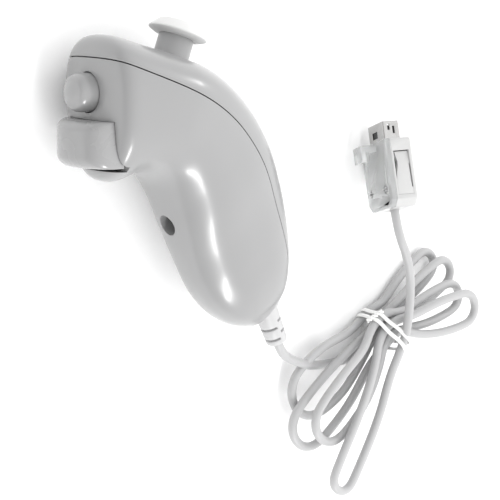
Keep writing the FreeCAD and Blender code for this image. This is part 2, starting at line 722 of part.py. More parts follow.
def arc_between(start, corner, end):
    # The arc that leaves start towards the corner and reaches end coming from it.
    middle = (start + end) * 0.5
    half = (end - start).Length / 2
    lean = math.acos(min(1.0, half / (corner - start).Length))
    if lean < 1e-4:
        return Part.makeLine(start, end)
    outward = (corner - middle).normalize()
    return Part.Arc(start, middle + outward * (half * math.tan(lean / 2)), end).toShape()


def two_arcs(start, heading, end, end_heading):
    # Two arcs that meet smoothly and keep both headings.
    gap = end - start
    a = 2 * (1 - heading.dot(end_heading))
    b = 2 * gap.dot(heading + end_heading)
    c = -gap.dot(gap)
    reach = -c / b if abs(a) < 1e-9 else (-b + math.sqrt(b * b - 4 * a * c)) / (2 * a)
    first, second = start + heading * reach, end - end_heading * reach
    meet = (first + second) * 0.5
    return [arc_between(start, first, meet), arc_between(meet, second, end)]


def hank_edges():
    knots = hank_knots()
    edges = []
    for (start, heading), (end, end_heading) in zip(knots, knots[1:]):
        edges += two_arcs(start, heading, end, end_heading)
    return edges


def route_edges(points):
    # Straight runs joined by tangent arcs that take 0.45 of the shorter run at each point.
    edges = []
    start = points[0]
    for before, corner, after in zip(points, points[1:], points[2:]):
        come, leave = before - corner, after - corner
        reach = 0.45 * min(come.Length, leave.Length)
        arc_start = corner + come.normalize() * reach
        arc_end = corner + leave.normalize() * reach
        edges += [Part.makeLine(start, arc_start), arc_between(arc_start, corner, arc_end)]
        start = arc_end
    return edges + [Part.makeLine(start, points[-1])]


def tube(edges, radius):
    # A cord's solid has flats that touch its round jacket from inside.
    start = edges[0].Vertexes[0].Point
    heading = edges[0].tangentAt(edges[0].FirstParameter)
    first, second, heading = cross_axes(heading)
    ring = []
    for i in range(cord_flats + 1):
        turn = 2 * math.pi * i / cord_flats
        ring.append(start + first * (radius * math.cos(turn)) + second * (radius * math.sin(turn)))
    return Part.Wire(edges).makePipeShell([Part.makePolygon(ring)], True, False)


def flats_area(radius):
    return cord_flats / 2 * radius ** 2 * math.sin(2 * math.pi / cord_flats)


def report_tube(name, edges, radius, shape):
    length = sum(e.Length for e in edges)
    radii = [e.Curve.Radius for e in edges if e.Curve.TypeId == "Part::GeomCircle"]
    print("%s length %.0f least bend radius %.1f volume %.0f, section times length %.0f" % (
        name, length, min(radii), shape.Volume, flats_area(radius) * length))


def least_gap(edges):
    # The least distance between two places of a cord that lie more than three diameters apart along it.
    points, places = [], []
    run = 0.0
    for edge in edges:
        steps = max(2, int(edge.Length / 1.5))
        for i in range(steps):
            t = edge.FirstParameter + (edge.LastParameter - edge.FirstParameter) * i / steps
            points.append(edge.valueAt(t))
            places.append(run + edge.Length * i / steps)
        run += edge.Length
    least = 99.0
    for i, first in enumerate(points):
        for j in range(i + 1, len(points)):
            if places[j] - places[i] > 9.0:
                least = min(least, first.distanceToPoint(points[j]))
    return least - 2 * cord_radius


# The plug's own axes: towards its nose, out of its lever side and across.
plug_origin = V(90.6, 28.8, -8.8)       # the middle of the nose's base
plug_along = V(-0.279, 0.919, -0.28).normalize()
plug_up = V(-0.404, 0.153, 0.902)
plug_up = (plug_up - plug_along * plug_up.dot(plug_along)).normalize()
plug_across = plug_along.cross(plug_up)
plug_length = 22.7
plug_half_thick = 5.0
plug_half_wide = 9.6
plug_wall = 1.2
plug_split = -2.6           # the clear half ends here, across
plug_bevel = 2.4
cord_in_plug = 16.6         # the jacket's end, measured back from the nose's base


def at_plug(across, along, high):
    return plug_origin + plug_across * across + plug_along * along + plug_up * high


def plug_box(low, high):
    return block_in(plug_origin, plug_across, plug_along, plug_up, low, high)


def plug_rod(across, along, high, direction, radius, length):
    return rod(at_plug(across, along, high), direction, radius, length)


lead_route = [
    relief_start - relief_axis * (clamp_in + 3.0),
    relief_start + relief_axis * 20.0,
    V(82, -51.5, rest + 0.4),
    V(98, -49, rest),
    V(112.1, -45.6, rest),
    hank_knots()[0][0],
]
tail_start, tail_heading = hank_knots()[-1]
tail_route = [
    tail_start,
    tail_start + tail_heading * 9.0,
    V(117.0, -13.0, floor + 16.6),
    V(110.5, -6.4, floor + 17.8),
    at_plug(0, -plug_length - 7.0, 0),
    at_plug(0, -cord_in_plug, 0),
]


def cords():
    for name, edges in (("cord_lead", route_edges(lead_route)), ("cord_hank", hank_edges()),
                        ("cord_tail", route_edges(tail_route))):
        shape = tube(edges, cord_radius)
        report_tube(name, edges, cord_radius, shape)
        keep(name, shape)
    print("hank least gap %.2f" % least_gap(hank_edges()))


def cord_tie():
    # A flat twist tie: two wraps round the bundle and its twisted end lying beside it.
    half, high = 7.3, 4.0 * layer + 2 * cord_radius + 0.3
    base = V(waist.x, waist.y, floor + 0.05)
    wraps = []
    for place in (-1.9, 1.9):
        band = block_in(base, across_bundle, left, along_bundle,
                        (-half - tie_thick, 0, place - 1.2), (half + tie_thick, high + 2 * tie_thick, place + 1.2))
        hole = block_in(base, across_bundle, left, along_bundle,
                        (-half, tie_thick, place - 2), (half, tie_thick + high, place + 2))
        lengthwise = [e for e in band.Edges if abs(e.tangentAt(e.FirstParameter).dot(along_bundle)) > 0.99]
        inside = [e for e in hole.Edges if abs(e.tangentAt(e.FirstParameter).dot(along_bundle)) > 0.99]
        wraps.append(band.makeFillet(2.6, lengthwise).cut(hole.makeFillet(2.0, inside)))
    bridge = block_in(base, across_bundle, left, along_bundle,
                      (-half - tie_thick, high * 0.35, -1.9), (-half, high * 0.35 + 2.4, 1.9))
    keep("cord_tie", fuse_all(wraps + [bridge]))


def plug_body():
    # The housing as one block with bevelled rear corners and rounded edges.
    body = plug_box((-plug_half_thick, -plug_length, -plug_half_wide), (plug_half_thick, 0, plug_half_wide))
    rear = [e for e in body.Edges if abs((e.BoundBox.Center - plug_origin).dot(plug_along) + plug_length) < 0.01
            and abs(e.tangentAt(e.FirstParameter).dot(plug_across)) > 0.9]
    body = body.makeChamfer(plug_bevel, rear)
    return body.makeFillet(0.9, body.Edges)


plug_room_half = plug_half_thick - plug_wall
plug_room_wide = plug_half_wide - plug_wall
plug_screw_back = 16.4
plug_screw_side = 6.2
plug_boss = 1.7
lever_hinge_back = 18.0
lever_low, lever_high = -1.7, 3.2       # across
lever_thick = 1.5
lever_swing = 4.0


def plug_halves():
    body = plug_body()
    room = plug_box((-plug_room_half, -plug_length + plug_wall, -plug_room_wide),
                    (plug_room_half, -plug_wall, plug_room_wide))
    screws = (-plug_screw_side, plug_screw_side)
    bosses = [plug_rod(-plug_half_thick + 0.5, -plug_screw_back, high, plug_across, plug_boss,
                       2 * plug_half_thick - 1.0) for high in screws]
    hollow = room.cut(Part.makeCompound(bosses))
    body = body.cut(hollow)
    nose_hole = plug_box((-nose_half_thick, -2, -nose_half_wide), (nose_half_thick, 1, nose_half_wide))
    cord_hole = plug_rod(0, -plug_length - 1, 0, plug_along, cord_radius, plug_length - cord_in_plug + 1)
    body = body.cut(nose_hole).cut(cord_hole)
    clear_side = plug_box((-20, -40, -20), (plug_split, 10, 20))
    clear = body.common(clear_side)
    white = body.cut(clear_side)
    for high in screws:
        clear = clear.cut(plug_rod(-plug_half_thick - 1, -plug_screw_back, high, plug_across, 1.45, 1.6))
        clear = clear.cut(plug_rod(-plug_half_thick - 1, -plug_screw_back, high, plug_across, 0.95, 6))
        white = white.cut(plug_rod(-plug_half_thick, -plug_screw_back, high, plug_across, 0.75, 7.2))
    for side in (-1, 1):
        low, high = sorted((side * (plug_room_wide - 1), side * (plug_half_wide + 1)))
        white = white.cut(plug_box((lever_low - 0.3, -lever_hinge_back - 0.9, low), (lever_high + 0.3, -4.3, high)))
        white = white.cut(plug_rod(lever_low - 0.65, -lever_hinge_back, side * (plug_half_wide - 0.8),
                                   plug_across, 0.5 + seat_gap, lever_high - lever_low + 1.3))
    # The hook that a strap's loop goes through stands out of the clear half.
    arm = plug_box((-10.4, -3.4, -3.6), (-plug_half_thick + 0.4, -1.0, 3.2))
    lip = plug_box((-10.4, -6.4, -3.6), (-8.8, -1.0, 3.2))
    keep("plug_shell_clear", clear.fuse(arm).fuse(lip).removeSplitter())
    keep("plug_shell_white", white)


nose_half_thick = 2.97
nose_half_wide = 6.16
nose_length = 6.2
nose_wall = 0.45


def plug_nose():
    # The folded metal sleeve with its window and staggered spring slots.
    sleeve = plug_box((-nose_half_thick, -plug_wall, -nose_half_wide), (nose_half_thick, nose_length, nose_half_wide))
    corners = [e for e in sleeve.Edges if abs(e.tangentAt(e.FirstParameter).dot(plug_along)) > 0.9]
    sleeve = sleeve.makeFillet(0.5, corners)
    sleeve = sleeve.cut(plug_box((-nose_half_thick + nose_wall, -5, -nose_half_wide + nose_wall),
                                 (nose_half_thick - nose_wall, 9, nose_half_wide - nose_wall)))
    sleeve = sleeve.cut(plug_box((-4, 1.4, -2.9), (4, 3.6, 1.1)))
    sleeve = sleeve.cut(plug_box((-1.3, 3.2, -9), (-0.6, 5.2, 9)))
    sleeve = sleeve.cut(plug_box((0.4, 2.0, -9), (1.1, 4.4, 9)))
    keep("plug_nose", sleeve)


def plug_insides():
    # The contact carrier, six contacts in two rows, the small board and its wires.
    contacts = []
    for row in (-1, 1):
        for place in (-3.2, 0.0, 3.2):
            low, high = sorted((row * 0.55, row * 0.9))
            contacts.append(plug_box((low, -6.0, place - 0.45), (high, 4.2, place + 0.45)))
    contacts = Part.makeCompound(contacts)
    carrier = plug_box((-nose_half_thick + nose_wall, -3.5, -nose_half_wide + nose_wall),
                       (nose_half_thick - nose_wall, 4.6, nose_half_wide - nose_wall))
    slot = plug_box((-0.9, 0.5, -4.8), (0.9, 6, 4.8))
    keep("plug_contacts", contacts)
    keep("plug_carrier", carrier.cut(slot).cut(contacts))
    keep("plug_board", plug_box((-0.5, -12.5, -5.0), (0.5, -3.5, 5.0)))
    wires = [plug_rod(side * 0.85, -cord_in_plug, place, plug_along, 0.35, 6.0)
             for side in (-1, 1) for place in (-0.6, 0.6)]
    keep("plug_wires", Part.makeCompound(wires))


def plug_screws():
    screws = [screw(at_plug(-plug_half_thick + 0.6, -plug_screw_back, side * plug_screw_side), plug_across,
                    1.4, 0.9, 0.75, 6.4) for side in (-1, 1)]
    keep("plug_screws", Part.makeCompound(screws))


def latch_lever(name, side):
    # A squeeze tongue with its hinge pin at the cord end and a short foot at its free end.
    def at(along, high):
        return at_plug(lever_low, along, side * high)
    top, under = plug_half_wide, plug_half_wide - lever_thick
    outline = [at(-18.6, under), at(-18.6, top), at(-14.0, top), at(-4.6, top - 0.7), at(-4.6, top - 3.0),
               at(-6.4, top - 3.0), at(-6.4, under - 0.3), at(-17.0, under)]
    tongue = Part.Face(Part.makePolygon(outline + outline[:1])).extrude(plug_across * (lever_high - lever_low))
    pin = plug_rod(lever_low - 0.55, -lever_hinge_back, side * (top - 0.8), plug_across, 0.5,
                   lever_high - lever_low + 1.1)
    keep(name, tongue.fuse(pin))


def inner_wires():
    # The cord's wires in their thin inner sleeve, led past the screw post to the board's socket.
    points = [at_clamp(3.0, 0, 0), V(38.0, -20.0, 3.5), V(30.0, -8.0, 6.8), V(20.0, 3.6, 5.6),
              V(board_back - 3.0, board_top - board_thick - 2.0, 1.5)]
    keep("inner_wires", tube(route_edges(points), 0.9))


def run_pieces():
    stick_cap()
    stick_stem()
    stick_shaft()
    stick_gimbal()
    stick_upper_arm()
    joystick_housing()
    position_sensor("pitch_sensor", left)
    position_sensor("roll_sensor", back)
    main_board()
    board_screws()
    chip("main_chip", -7.0, 3.0, -12.5, -5.5, 1.6, 8)
    chip("motion_sensor", -3.0, 2.0, 3.0, 8.0, 1.4, 4)
    cable_connector()
    switch_board()
    switch_board_screws()
    contact_switches()
    round_button()
    trigger()
    trigger_pin()
    case_screws()
    case_shells()
    strain_relief()
    cable_clamp()
    clamp_screws()
    inner_wires()
    cords()
    cord_tie()
    plug_halves()
    plug_nose()
    plug_insides()
    plug_screws()
    latch_lever("latch_lever_upper", 1)
    latch_lever("latch_lever_lower", -1)


run_pieces()
for name, shape in pieces.items():
    moved = shape.copy()
    moved.translate(row_shift)
    moved.exportStep("parts/%s.step" % name)
    if not shape.isValid() or len(shape.Solids) < 1:
        print("CHECK", name, shape.isValid(), len(shape.Solids))
    print("%-22s solids %d volume %.0f" % (name, len(shape.Solids), shape.Volume))
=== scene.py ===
import bpy
import bmesh
import json
import math
from mathutils import Vector, Matrix


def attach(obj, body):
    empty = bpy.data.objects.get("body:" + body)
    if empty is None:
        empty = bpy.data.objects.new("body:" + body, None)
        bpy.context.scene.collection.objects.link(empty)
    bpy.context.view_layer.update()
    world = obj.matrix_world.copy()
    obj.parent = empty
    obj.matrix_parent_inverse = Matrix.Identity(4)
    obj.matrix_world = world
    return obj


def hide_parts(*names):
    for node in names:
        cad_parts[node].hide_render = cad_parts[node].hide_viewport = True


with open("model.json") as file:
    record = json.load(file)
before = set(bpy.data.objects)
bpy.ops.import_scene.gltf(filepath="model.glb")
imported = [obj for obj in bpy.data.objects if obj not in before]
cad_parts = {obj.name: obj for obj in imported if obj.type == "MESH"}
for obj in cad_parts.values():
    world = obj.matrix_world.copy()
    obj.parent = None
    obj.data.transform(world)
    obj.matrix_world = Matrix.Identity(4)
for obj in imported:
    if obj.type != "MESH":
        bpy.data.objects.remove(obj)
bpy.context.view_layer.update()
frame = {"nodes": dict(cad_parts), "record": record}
nodes = frame["nodes"]
print("frame loaded with", len(nodes), "nodes")

# Where the case's own axes start in the frame, in metres; the same shift as in the part's source
rowShift = Vector((-0.01244, 0.00556, 0.0192))
leftWay = Vector((0, 0, 1))
upWay = Vector((0, 1, 0))
backWay = Vector((1, 0, 0))


def inFrame(point):
    # Millimetres in the case's own axes to metres in the frame
    return point * 0.001 + rowShift


def looseObject(name, data):
    piece = bpy.data.objects.new(name, data)
    bpy.context.scene.collection.objects.link(piece)
    return piece


# Node building blocks

def addNode(tree, kind, given=None, **settings):
    # A new node; what is given to each of its inputs is a value or another node's output
    node = tree.nodes.new(kind)
    for key, value in settings.items():
        setattr(node, key, value)
    for socket, value in (given or {}).items():
        if isinstance(value, bpy.types.NodeSocket):
            tree.links.new(value, node.inputs[socket])
        else:
            node.inputs[socket].default_value = value
    return node


def calculated(tree, operation, *given):
    return addNode(tree, "ShaderNodeMath", dict(enumerate(given)), operation=operation).outputs[0]


def noiseOver(tree, given):
    where = addNode(tree, "ShaderNodeTexCoord")
    given = {"Vector": where.outputs["Object"], **given}
    return addNode(tree, "ShaderNodeTexNoise", given).outputs["Fac"]


def newGroup(name, inputs, outputs, kind="ShaderNodeTree"):
    # A node tree, the values given to it and the sockets for its results
    group = bpy.data.node_groups.new(name, kind)
    for label, socketKind, value in inputs:
        socket = group.interface.new_socket(name=label, in_out="INPUT", socket_type=socketKind)
        if value is not None:
            socket.default_value = value
    for label, socketKind in outputs:
        group.interface.new_socket(name=label, in_out="OUTPUT", socket_type=socketKind)
    return group, addNode(group, "NodeGroupInput").outputs, addNode(group, "NodeGroupOutput").inputs


def buildMouldedSurface():
    # Colour drift, uneven gloss and a fine orange peel, all over the surface of a moulding
    group, given, result = newGroup(
        "mouldedSurface",
        [("Colour", "NodeSocketColor", (0.8, 0.8, 0.8, 1)), ("Drift", "NodeSocketFloat", 0.03),
         ("Roughness", "NodeSocketFloat", 0.3), ("Uneven", "NodeSocketFloat", 0.05),
         ("Grain Scale", "NodeSocketFloat", 1500.0), ("Grain Height", "NodeSocketFloat", 0.02)],
        [("Colour", "NodeSocketColor"), ("Roughness", "NodeSocketFloat"), ("Normal", "NodeSocketVector")])
    cloud = noiseOver(group, {"Scale": 60.0, "Detail": 3.0})
    darkest = calculated(group, "SUBTRACT", 1.0, given["Drift"])
    shade = addNode(group, "ShaderNodeMapRange", {"Value": cloud, "To Min": darkest})
    tones = {0: 1.0, 6: given["Colour"], 7: shade.outputs["Result"]}
    darker = addNode(group, "ShaderNodeMix", tones, data_type="RGBA", blend_type="MULTIPLY")
    smear = calculated(group, "SUBTRACT", noiseOver(group, {"Scale": 180.0, "Detail": 5.0}), 0.5)
    spread = calculated(group, "MULTIPLY_ADD", smear, given["Uneven"], given["Roughness"])
    grain = noiseOver(group, {"Scale": given["Grain Scale"], "Detail": 2.0})
    bump = addNode(group, "ShaderNodeBump",
                   {"Distance": 0.0002, "Strength": given["Grain Height"], "Height": grain})
    group.links.new(darker.outputs[2], result["Colour"])
    group.links.new(spread, result["Roughness"])
    group.links.new(bump.outputs["Normal"], result["Normal"])
    return group


def buildHandlingWear():
    # Faint dust and fingertip smears: a mask that is mostly nothing
    group, given, result = newGroup(
        "handlingWear", [("Amount", "NodeSocketFloat", 0.3), ("Scale", "NodeSocketFloat", 90.0)],
        [("Mask", "NodeSocketFloat")])
    blot = noiseOver(group, {"Scale": given["Scale"], "Detail": 6.0, "Distortion": 0.6})
    rise = addNode(group, "ShaderNodeMapRange", {"Value": blot, "From Min": 0.55, "From Max": 0.8})
    mask = calculated(group, "MULTIPLY", rise.outputs["Result"], given["Amount"])
    group.links.new(mask, result["Mask"])
    return group


mouldedSurface = buildMouldedSurface()
handlingWear = buildHandlingWear()

# What is named for a finish: its colour, the drift of that colour, the roughness and how uneven it is,
# the scale and height of the grain, and a clear coat or metal where it has one
finishes = {
    "greyCasePlastic": dict(colour=(0.285, 0.285, 0.287), rough=0.30, uneven=0.06, grain=900, height=0.010,
                            coat=0.40, coatRough=0.17),
    "greyButtonPlastic": dict(colour=(0.30, 0.30, 0.302), rough=0.26, uneven=0.05, grain=900, height=0.008,
                              coat=0.35, coatRough=0.12),
    "capSatin": dict(colour=(0.66, 0.66, 0.655), rough=0.42, uneven=0.08, grain=2600, height=0.06),
    "stemSatin": dict(colour=(0.33, 0.33, 0.333), drift=0.04, rough=0.30, uneven=0.08, grain=2200,
                      height=0.04),
    "blackMoulding": dict(colour=(0.02, 0.02, 0.02), drift=0.1, rough=0.45, grain=2200, height=0.08),
    "whiteMoulding": dict(colour=(0.54, 0.54, 0.537), rough=0.30, uneven=0.08, grain=1500, height=0.02),
    "nickelPlate": dict(colour=(0.46, 0.455, 0.45), drift=0.12, rough=0.20, uneven=0.14, grain=1800,
                        height=0.04, metal=1.0),
    "brightScrew": dict(colour=(0.50, 0.50, 0.50), drift=0.1, rough=0.14, grain=1600, height=0.03, metal=1.0),
    "zincSteel": dict(colour=(0.42, 0.42, 0.43), drift=0.15, rough=0.32, uneven=0.2, grain=1600, metal=1.0),
    "springBrass": dict(colour=(0.70, 0.52, 0.22), drift=0.1, rough=0.28, grain=1600, height=0.03, metal=1.0),
    "boardGreen": dict(colour=(0.015, 0.09, 0.04), drift=0.2, rough=0.35, grain=900),
    "reliefVinyl": dict(colour=(0.50, 0.50, 0.503), drift=0.04, rough=0.42, grain=2400),
    "cordVinyl": dict(colour=(0.43, 0.43, 0.433), drift=0.05, rough=0.38, uneven=0.12, grain=2200),
    "tieFilm": dict(colour=(0.86, 0.86, 0.85), rough=0.50, grain=1800),
    "wireSleeve": dict(colour=(0.06, 0.06, 0.06), drift=0.1, rough=0.45, grain=1800),
}


def newMaterial(name, colour, rough, grain, drift=0.03, uneven=0.1, height=0.05):
    # A shader fed by the moulded surface; whoever calls this adds the rest
    material = bpy.data.materials.new(name)
    material.use_nodes = True
    tree = material.node_tree
    tree.nodes.clear()
    look = {"Colour": (*colour, 1), "Drift": drift, "Roughness": rough, "Uneven": uneven,
            "Grain Scale": grain, "Grain Height": height}
    surface = addNode(tree, "ShaderNodeGroup", look, node_tree=mouldedSurface).outputs
    shader = addNode(tree, "ShaderNodeBsdfPrincipled", {
        "Base Color": surface["Colour"], "Roughness": surface["Roughness"], "Normal": surface["Normal"]})
    addNode(tree, "ShaderNodeOutputMaterial", {"Surface": shader.outputs[0]})
    return material, shader, surface


def makeFinish(name, coat=0.0, coatRough=0.1, metal=0.0, **look):
    material, shader, surface = newMaterial(name, **look)
    tree = material.node_tree
    wear = addNode(tree, "ShaderNodeGroup", {"Amount": 0.35}, node_tree=handlingWear)
    duller = calculated(tree, "MULTIPLY_ADD", wear.outputs["Mask"], 0.25, surface["Roughness"])
    tree.links.new(duller, shader.inputs["Roughness"])
    for label, value in (("Metallic", metal), ("Coat Weight", coat), ("Coat Roughness", coatRough)):
        shader.inputs[label].default_value = value
    return material


finish = {name: makeFinish(name, **look) for name, look in finishes.items()}


def makeClearMoulding():
    # Clear moulding with a milky haze, so that what is inside only shows faintly
    material, shader, _ = newMaterial("clearMoulding", colour=(0.86, 0.87, 0.87), drift=0.02, rough=0.06,
                                      uneven=0.08, grain=700, height=0.03)
    shader.inputs["Transmission Weight"].default_value = 0.68
    shader.inputs["IOR"].default_value = 1.5
    return material


finish["clearMoulding"] = makeClearMoulding()
print("finishes made")


# Pieces: a mesh placed with its finish, its slot and the body it rides on

def placeMesh(name, mesh, material, body):
    piece = looseObject(name, mesh)
    mesh.materials.clear()
    mesh.materials.append(material)
    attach(piece, body)
    return piece


def smoothByAngle(mesh, degrees):
    for face in mesh.polygons:
        face.use_smooth = True
    mesh.set_sharp_from_angle(angle=math.radians(degrees))


def weldedCopy(node):
    mesh = nodes[node].data.copy()
    work = bmesh.new()
    work.from_mesh(mesh)
    bmesh.ops.remove_doubles(work, verts=work.verts, dist=2e-6)
    bmesh.ops.dissolve_limit(work, angle_limit=math.radians(0.5), verts=work.verts, edges=work.edges)
    work.to_mesh(mesh)
    work.free()
    return mesh


def bakeModifiers(piece):
    # Turns the piece's modifiers into plain mesh
    graph = bpy.context.evaluated_depsgraph_get()
    mesh = bpy.data.meshes.new_from_object(piece.evaluated_get(graph))
    piece.modifiers.clear()
    old = piece.data
    piece.data = mesh
    bpy.data.meshes.remove(old)


def bevelled(piece, width, segments=3, limit=40, miter="MITER_SHARP"):
    # Rounds the edges that turn by more than the limit in degrees; width in metres
    edges = piece.modifiers.new("softEdges", "BEVEL")
    edges.width = width
    edges.segments = segments
    edges.limit_method = "ANGLE"
    edges.angle_limit = math.radians(limit)
    edges.miter_outer = miter
    bakeModifiers(piece)


def finished(name, mesh, node, degrees=35, look=None, **edges):
    # Places a mesh that stands in for a node, with the node's own finish, slot and body
    material = finish[look or finishOf[slotOf[node]]]
    piece = placeMesh(name, mesh, material, bodyOf[node])
    if edges:
        bevelled(piece, **edges)
    smoothByAngle(piece.data, degrees)
    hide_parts(node)
    return piece


bodyOf = {node: body for body, members in frame["record"]["behaviour"]["bodies"].items() for node in members}
slotOf = {part["node"]: part["material_slot"] for part in frame["record"]["subparts"]}
finishOf = {
    "shell_plastic": "greyCasePlastic", "button_plastic": "greyButtonPlastic", "stick_plastic": "capSatin",
    "stem_plastic": "stemSatin", "dark_plastic": "blackMoulding", "white_plastic": "whiteMoulding",
    "clear_plastic": "clearMoulding", "plated_steel": "nickelPlate", "steel": "zincSteel",
    "contact_brass": "springBrass", "board": "boardGreen", "relief_rubber": "reliefVinyl",
    "cord_jacket": "cordVinyl", "wire_jacket": "wireSleeve", "tie_plastic": "tieFilm",
}
for name, node in nodes.items():
    node.data.materials.clear()
    node.data.materials.append(finish[finishOf[slotOf[name]]])
print("frame nodes painted")


# Meshes: turned, stacked, pushed and joined, in millimetres in the case's axes

def meshFrom(name, points, faces):
    # A mesh with its faces turned outward
    mesh = bpy.data.meshes.new(name)
    mesh.from_pydata([tuple(inFrame(p)) for p in points], [], faces)
    work = bmesh.new()
    work.from_mesh(mesh)
    bmesh.ops.remove_doubles(work, verts=work.verts, dist=1e-6)
    bmesh.ops.recalc_face_normals(work, faces=work.faces)
    work.to_mesh(mesh)
    work.free()
    return mesh


def ringFaces(rings, start=0, inward=False):
    count = len(rings[0])
    faces = []
    for r in range(len(rings) - 1):
        for i in range(count):
            j = (i + 1) % count
            faces.append((r * count + i, r * count + j, (r + 1) * count + j, (r + 1) * count + i))
    faces.append(tuple(reversed(range(count))))
    faces.append(tuple(range((len(rings) - 1) * count, len(rings) * count)))
    faces = [tuple(start + i for i in face) for face in faces]
    return [tuple(reversed(face)) for face in faces] if inward else faces


def stacked(name, rings):
    # A closed solid through rings of points, with its two ends covered
    return meshFrom(name, [p for ring in rings for p in ring], ringFaces(rings))


def roundOutline(middle, first, second, radius, count):
    return [middle + first * (radius * math.cos(2 * math.pi * i / count))
            + second * (radius * math.sin(2 * math.pi * i / count)) for i in range(count)]


def turned(name, base, axis, profile, count=72):
    # A closed solid turned round an axis; the profile holds radius and height pairs
    axis = axis.normalized()
    first = axis.orthogonal().normalized()
    second = axis.cross(first)
    return stacked(name, [roundOutline(base + axis * height, first, second, max(radius, 1e-4), count)
                          for radius, height in profile])


def arcOf(x, y, radius, fromDegrees, toDegrees, steps=6):
    # Points along an arc, its ends included
    turns = [math.radians(fromDegrees + (toDegrees - fromDegrees) * i / steps) for i in range(steps + 1)]
    return [(x + radius * math.cos(turn), y + radius * math.sin(turn)) for turn in turns]


def pushedOutline(name, outline, push):
    # A closed solid from an outline pushed along a direction
    count = len(outline)
    faces = [tuple(range(count)), tuple(reversed(range(count, 2 * count)))]
    faces += [(i, (i + 1) % count, (i + 1) % count + count, i + count) for i in range(count)]
    return looseObject(name, meshFrom(name, outline + [p + push for p in outline], faces))


def pushedRound(name, middle, first, second, radius, push, count=48):
    return pushedOutline(name, roundOutline(middle, first, second, radius, count), push)


def joined(name, meshes):
    work = bmesh.new()
    for mesh in meshes:
        work.from_mesh(mesh)
    result = bpy.data.meshes.new(name)
    work.to_mesh(result)
    work.free()
    return result


def cut(piece, *tools, keepInside=False):
    # Takes each tool out of the piece, or all but what is inside it; the tools are used up
    for tool in tools:
        step = piece.modifiers.new("cut", "BOOLEAN")
        step.operation = "INTERSECT" if keepInside else "DIFFERENCE"
        step.solver = "EXACT"
        step.object = tool
        bakeModifiers(piece)
        bpy.data.objects.remove(tool)


def meshOf(piece):
    # The mesh of a piece that is itself no longer needed
    mesh = piece.data
    bpy.data.objects.remove(piece)
    return mesh


# The two shells of the case, drawn from the grip's stations and far smoother than the solids

grip = {
    "stations": [  # back point, front point (side view, mm) and half width
        ((-33.0, 24.1), (-17.7, -14.8), 17.0), ((-21.5, 24.7), (-13.5, -10.8), 18.4),
        ((-9.2, 25.9), (-8.6, -9.6), 19.2), ((3.4, 24.9), (-3.4, -11.3), 18.7),
        ((15.7, 20.6), (2.2, -16.3), 17.8), ((27.0, 13.4), (8.4, -23.1), 16.7),
        ((36.5, 4.1), (15.5, -30.6), 14.7), ((43.8, -6.1), (22.9, -37.4), 13.7),
        ((49.1, -16.0), (31.0, -42.0), 12.5), ((52.5, -24.8), (39.5, -43.8), 9.5),
        ((53.8, -31.8), (47.7, -42.5), 4.5)],
    "power": 2.4, "egg": 0.12, "eggSwell": 1.0113,
    "faceStand": 5.0, "faceRound": 3.8, "faceSideRound": 7.2, "faceDome": 1.2,
    "blendBefore": 9, "blendAfter": 16, "blendPasses": 10,
    # How large each ring is that closes the front face and the tail, as a part of the last whole one
    "faceScales": (0.02, 0.15, 0.3, 0.45, 0.6, 0.72, 0.82, 0.9, 0.96), "tailScales": (0.93, 0.6, 0.2),
    "ringPoints": 120, "ringsBetween": 7, "wall": 2.0,
    "parting": [(-50, 16.4), (-30, 16.2), (-10, 15.6), (3, 13.5), (14, 9.2), (25, 2.0), (35, -7.8),
                (45, -18.6), (50, -27.5), (52.4, -36), (54, -50)],
    "seam": 0.17,       # half the gap at the parting line, mm
    "splitSide": 40, "splitFar": 90, "splitTop": 60,    # how far the splitting blocks reach, mm
    "edgeRound": 0.22,
}
faceTilt = math.radians(20)
faceOut = Vector((-math.cos(faceTilt), -math.sin(faceTilt), 0))
faceUp = Vector((-math.sin(faceTilt), math.cos(faceTilt), 0))
buttonMiddle = Vector((-36.0, 5.8, 0))


def atFace(out, along, side):
    return buttonMiddle + faceOut * out + faceUp * along + leftWay * side


def between(before, start, end, after, t):
    # A smooth run from start to end that also heeds the values before and after them
    return 0.5 * (2 * start + (end - before) * t + (2 * before - 5 * start + 4 * end - after) * t * t
                  + (3 * start - before - 3 * end + after) * t ** 3)


def smoothRows(rows, steps):
    made = []
    for i in range(len(rows) - 1):
        near = [rows[max(i - 1, 0)], rows[i], rows[i + 1], rows[min(i + 2, len(rows) - 1)]]
        for step in range(steps + 1):
            made.append([between(*values, step / (steps + 1)) for values in zip(*near)])
    return made + [list(rows[-1])]


def rounded(value, power):
    return math.copysign(abs(value) ** power, value)


def gripRing(row, forward=0.0):
    # One rounded ring round the grip, from its back point, front point and half width
    bx, by, fx, fy, half = row
    middle = Vector(((bx + fx) / 2, (by + fy) / 2, 0)) + faceOut * forward
    arm = Vector(((bx - fx) / 2, (by - fy) / 2, 0))
    ring = []
    for i in range(grip["ringPoints"]):
        turn = 2 * math.pi * i / grip["ringPoints"]
        along = rounded(math.cos(turn), 2 / grip["power"])
        side = rounded(math.sin(turn), 2 / grip["power"])
        side = side * (1 + grip["egg"] * math.cos(turn)) / grip["eggSwell"]
        ring.append(middle + arm * along + leftWay * (half * side))
    return ring


def drawnIn(row, endInset, sideInset):
    bx, by, fx, fy, half = row
    length = math.hypot(bx - fx, by - fy)
    ux, uy = (bx - fx) / length * endInset, (by - fy) / length * endInset
    return bx - ux, by - uy, fx + ux, fy + uy, half - sideInset


def blendedAcross(rings, middle):
    # Evens out the bend where the front face's rounding runs into the grip
    for _ in range(grip["blendPasses"]):
        fresh = {}
        for r in range(middle - grip["blendBefore"], middle + grip["blendAfter"]):
            fresh[r] = [(a + b * 2 + c) / 4 for a, b, c in zip(rings[r - 1], rings[r], rings[r + 1])]
        for r, ring in fresh.items():
            rings[r] = ring
    return rings


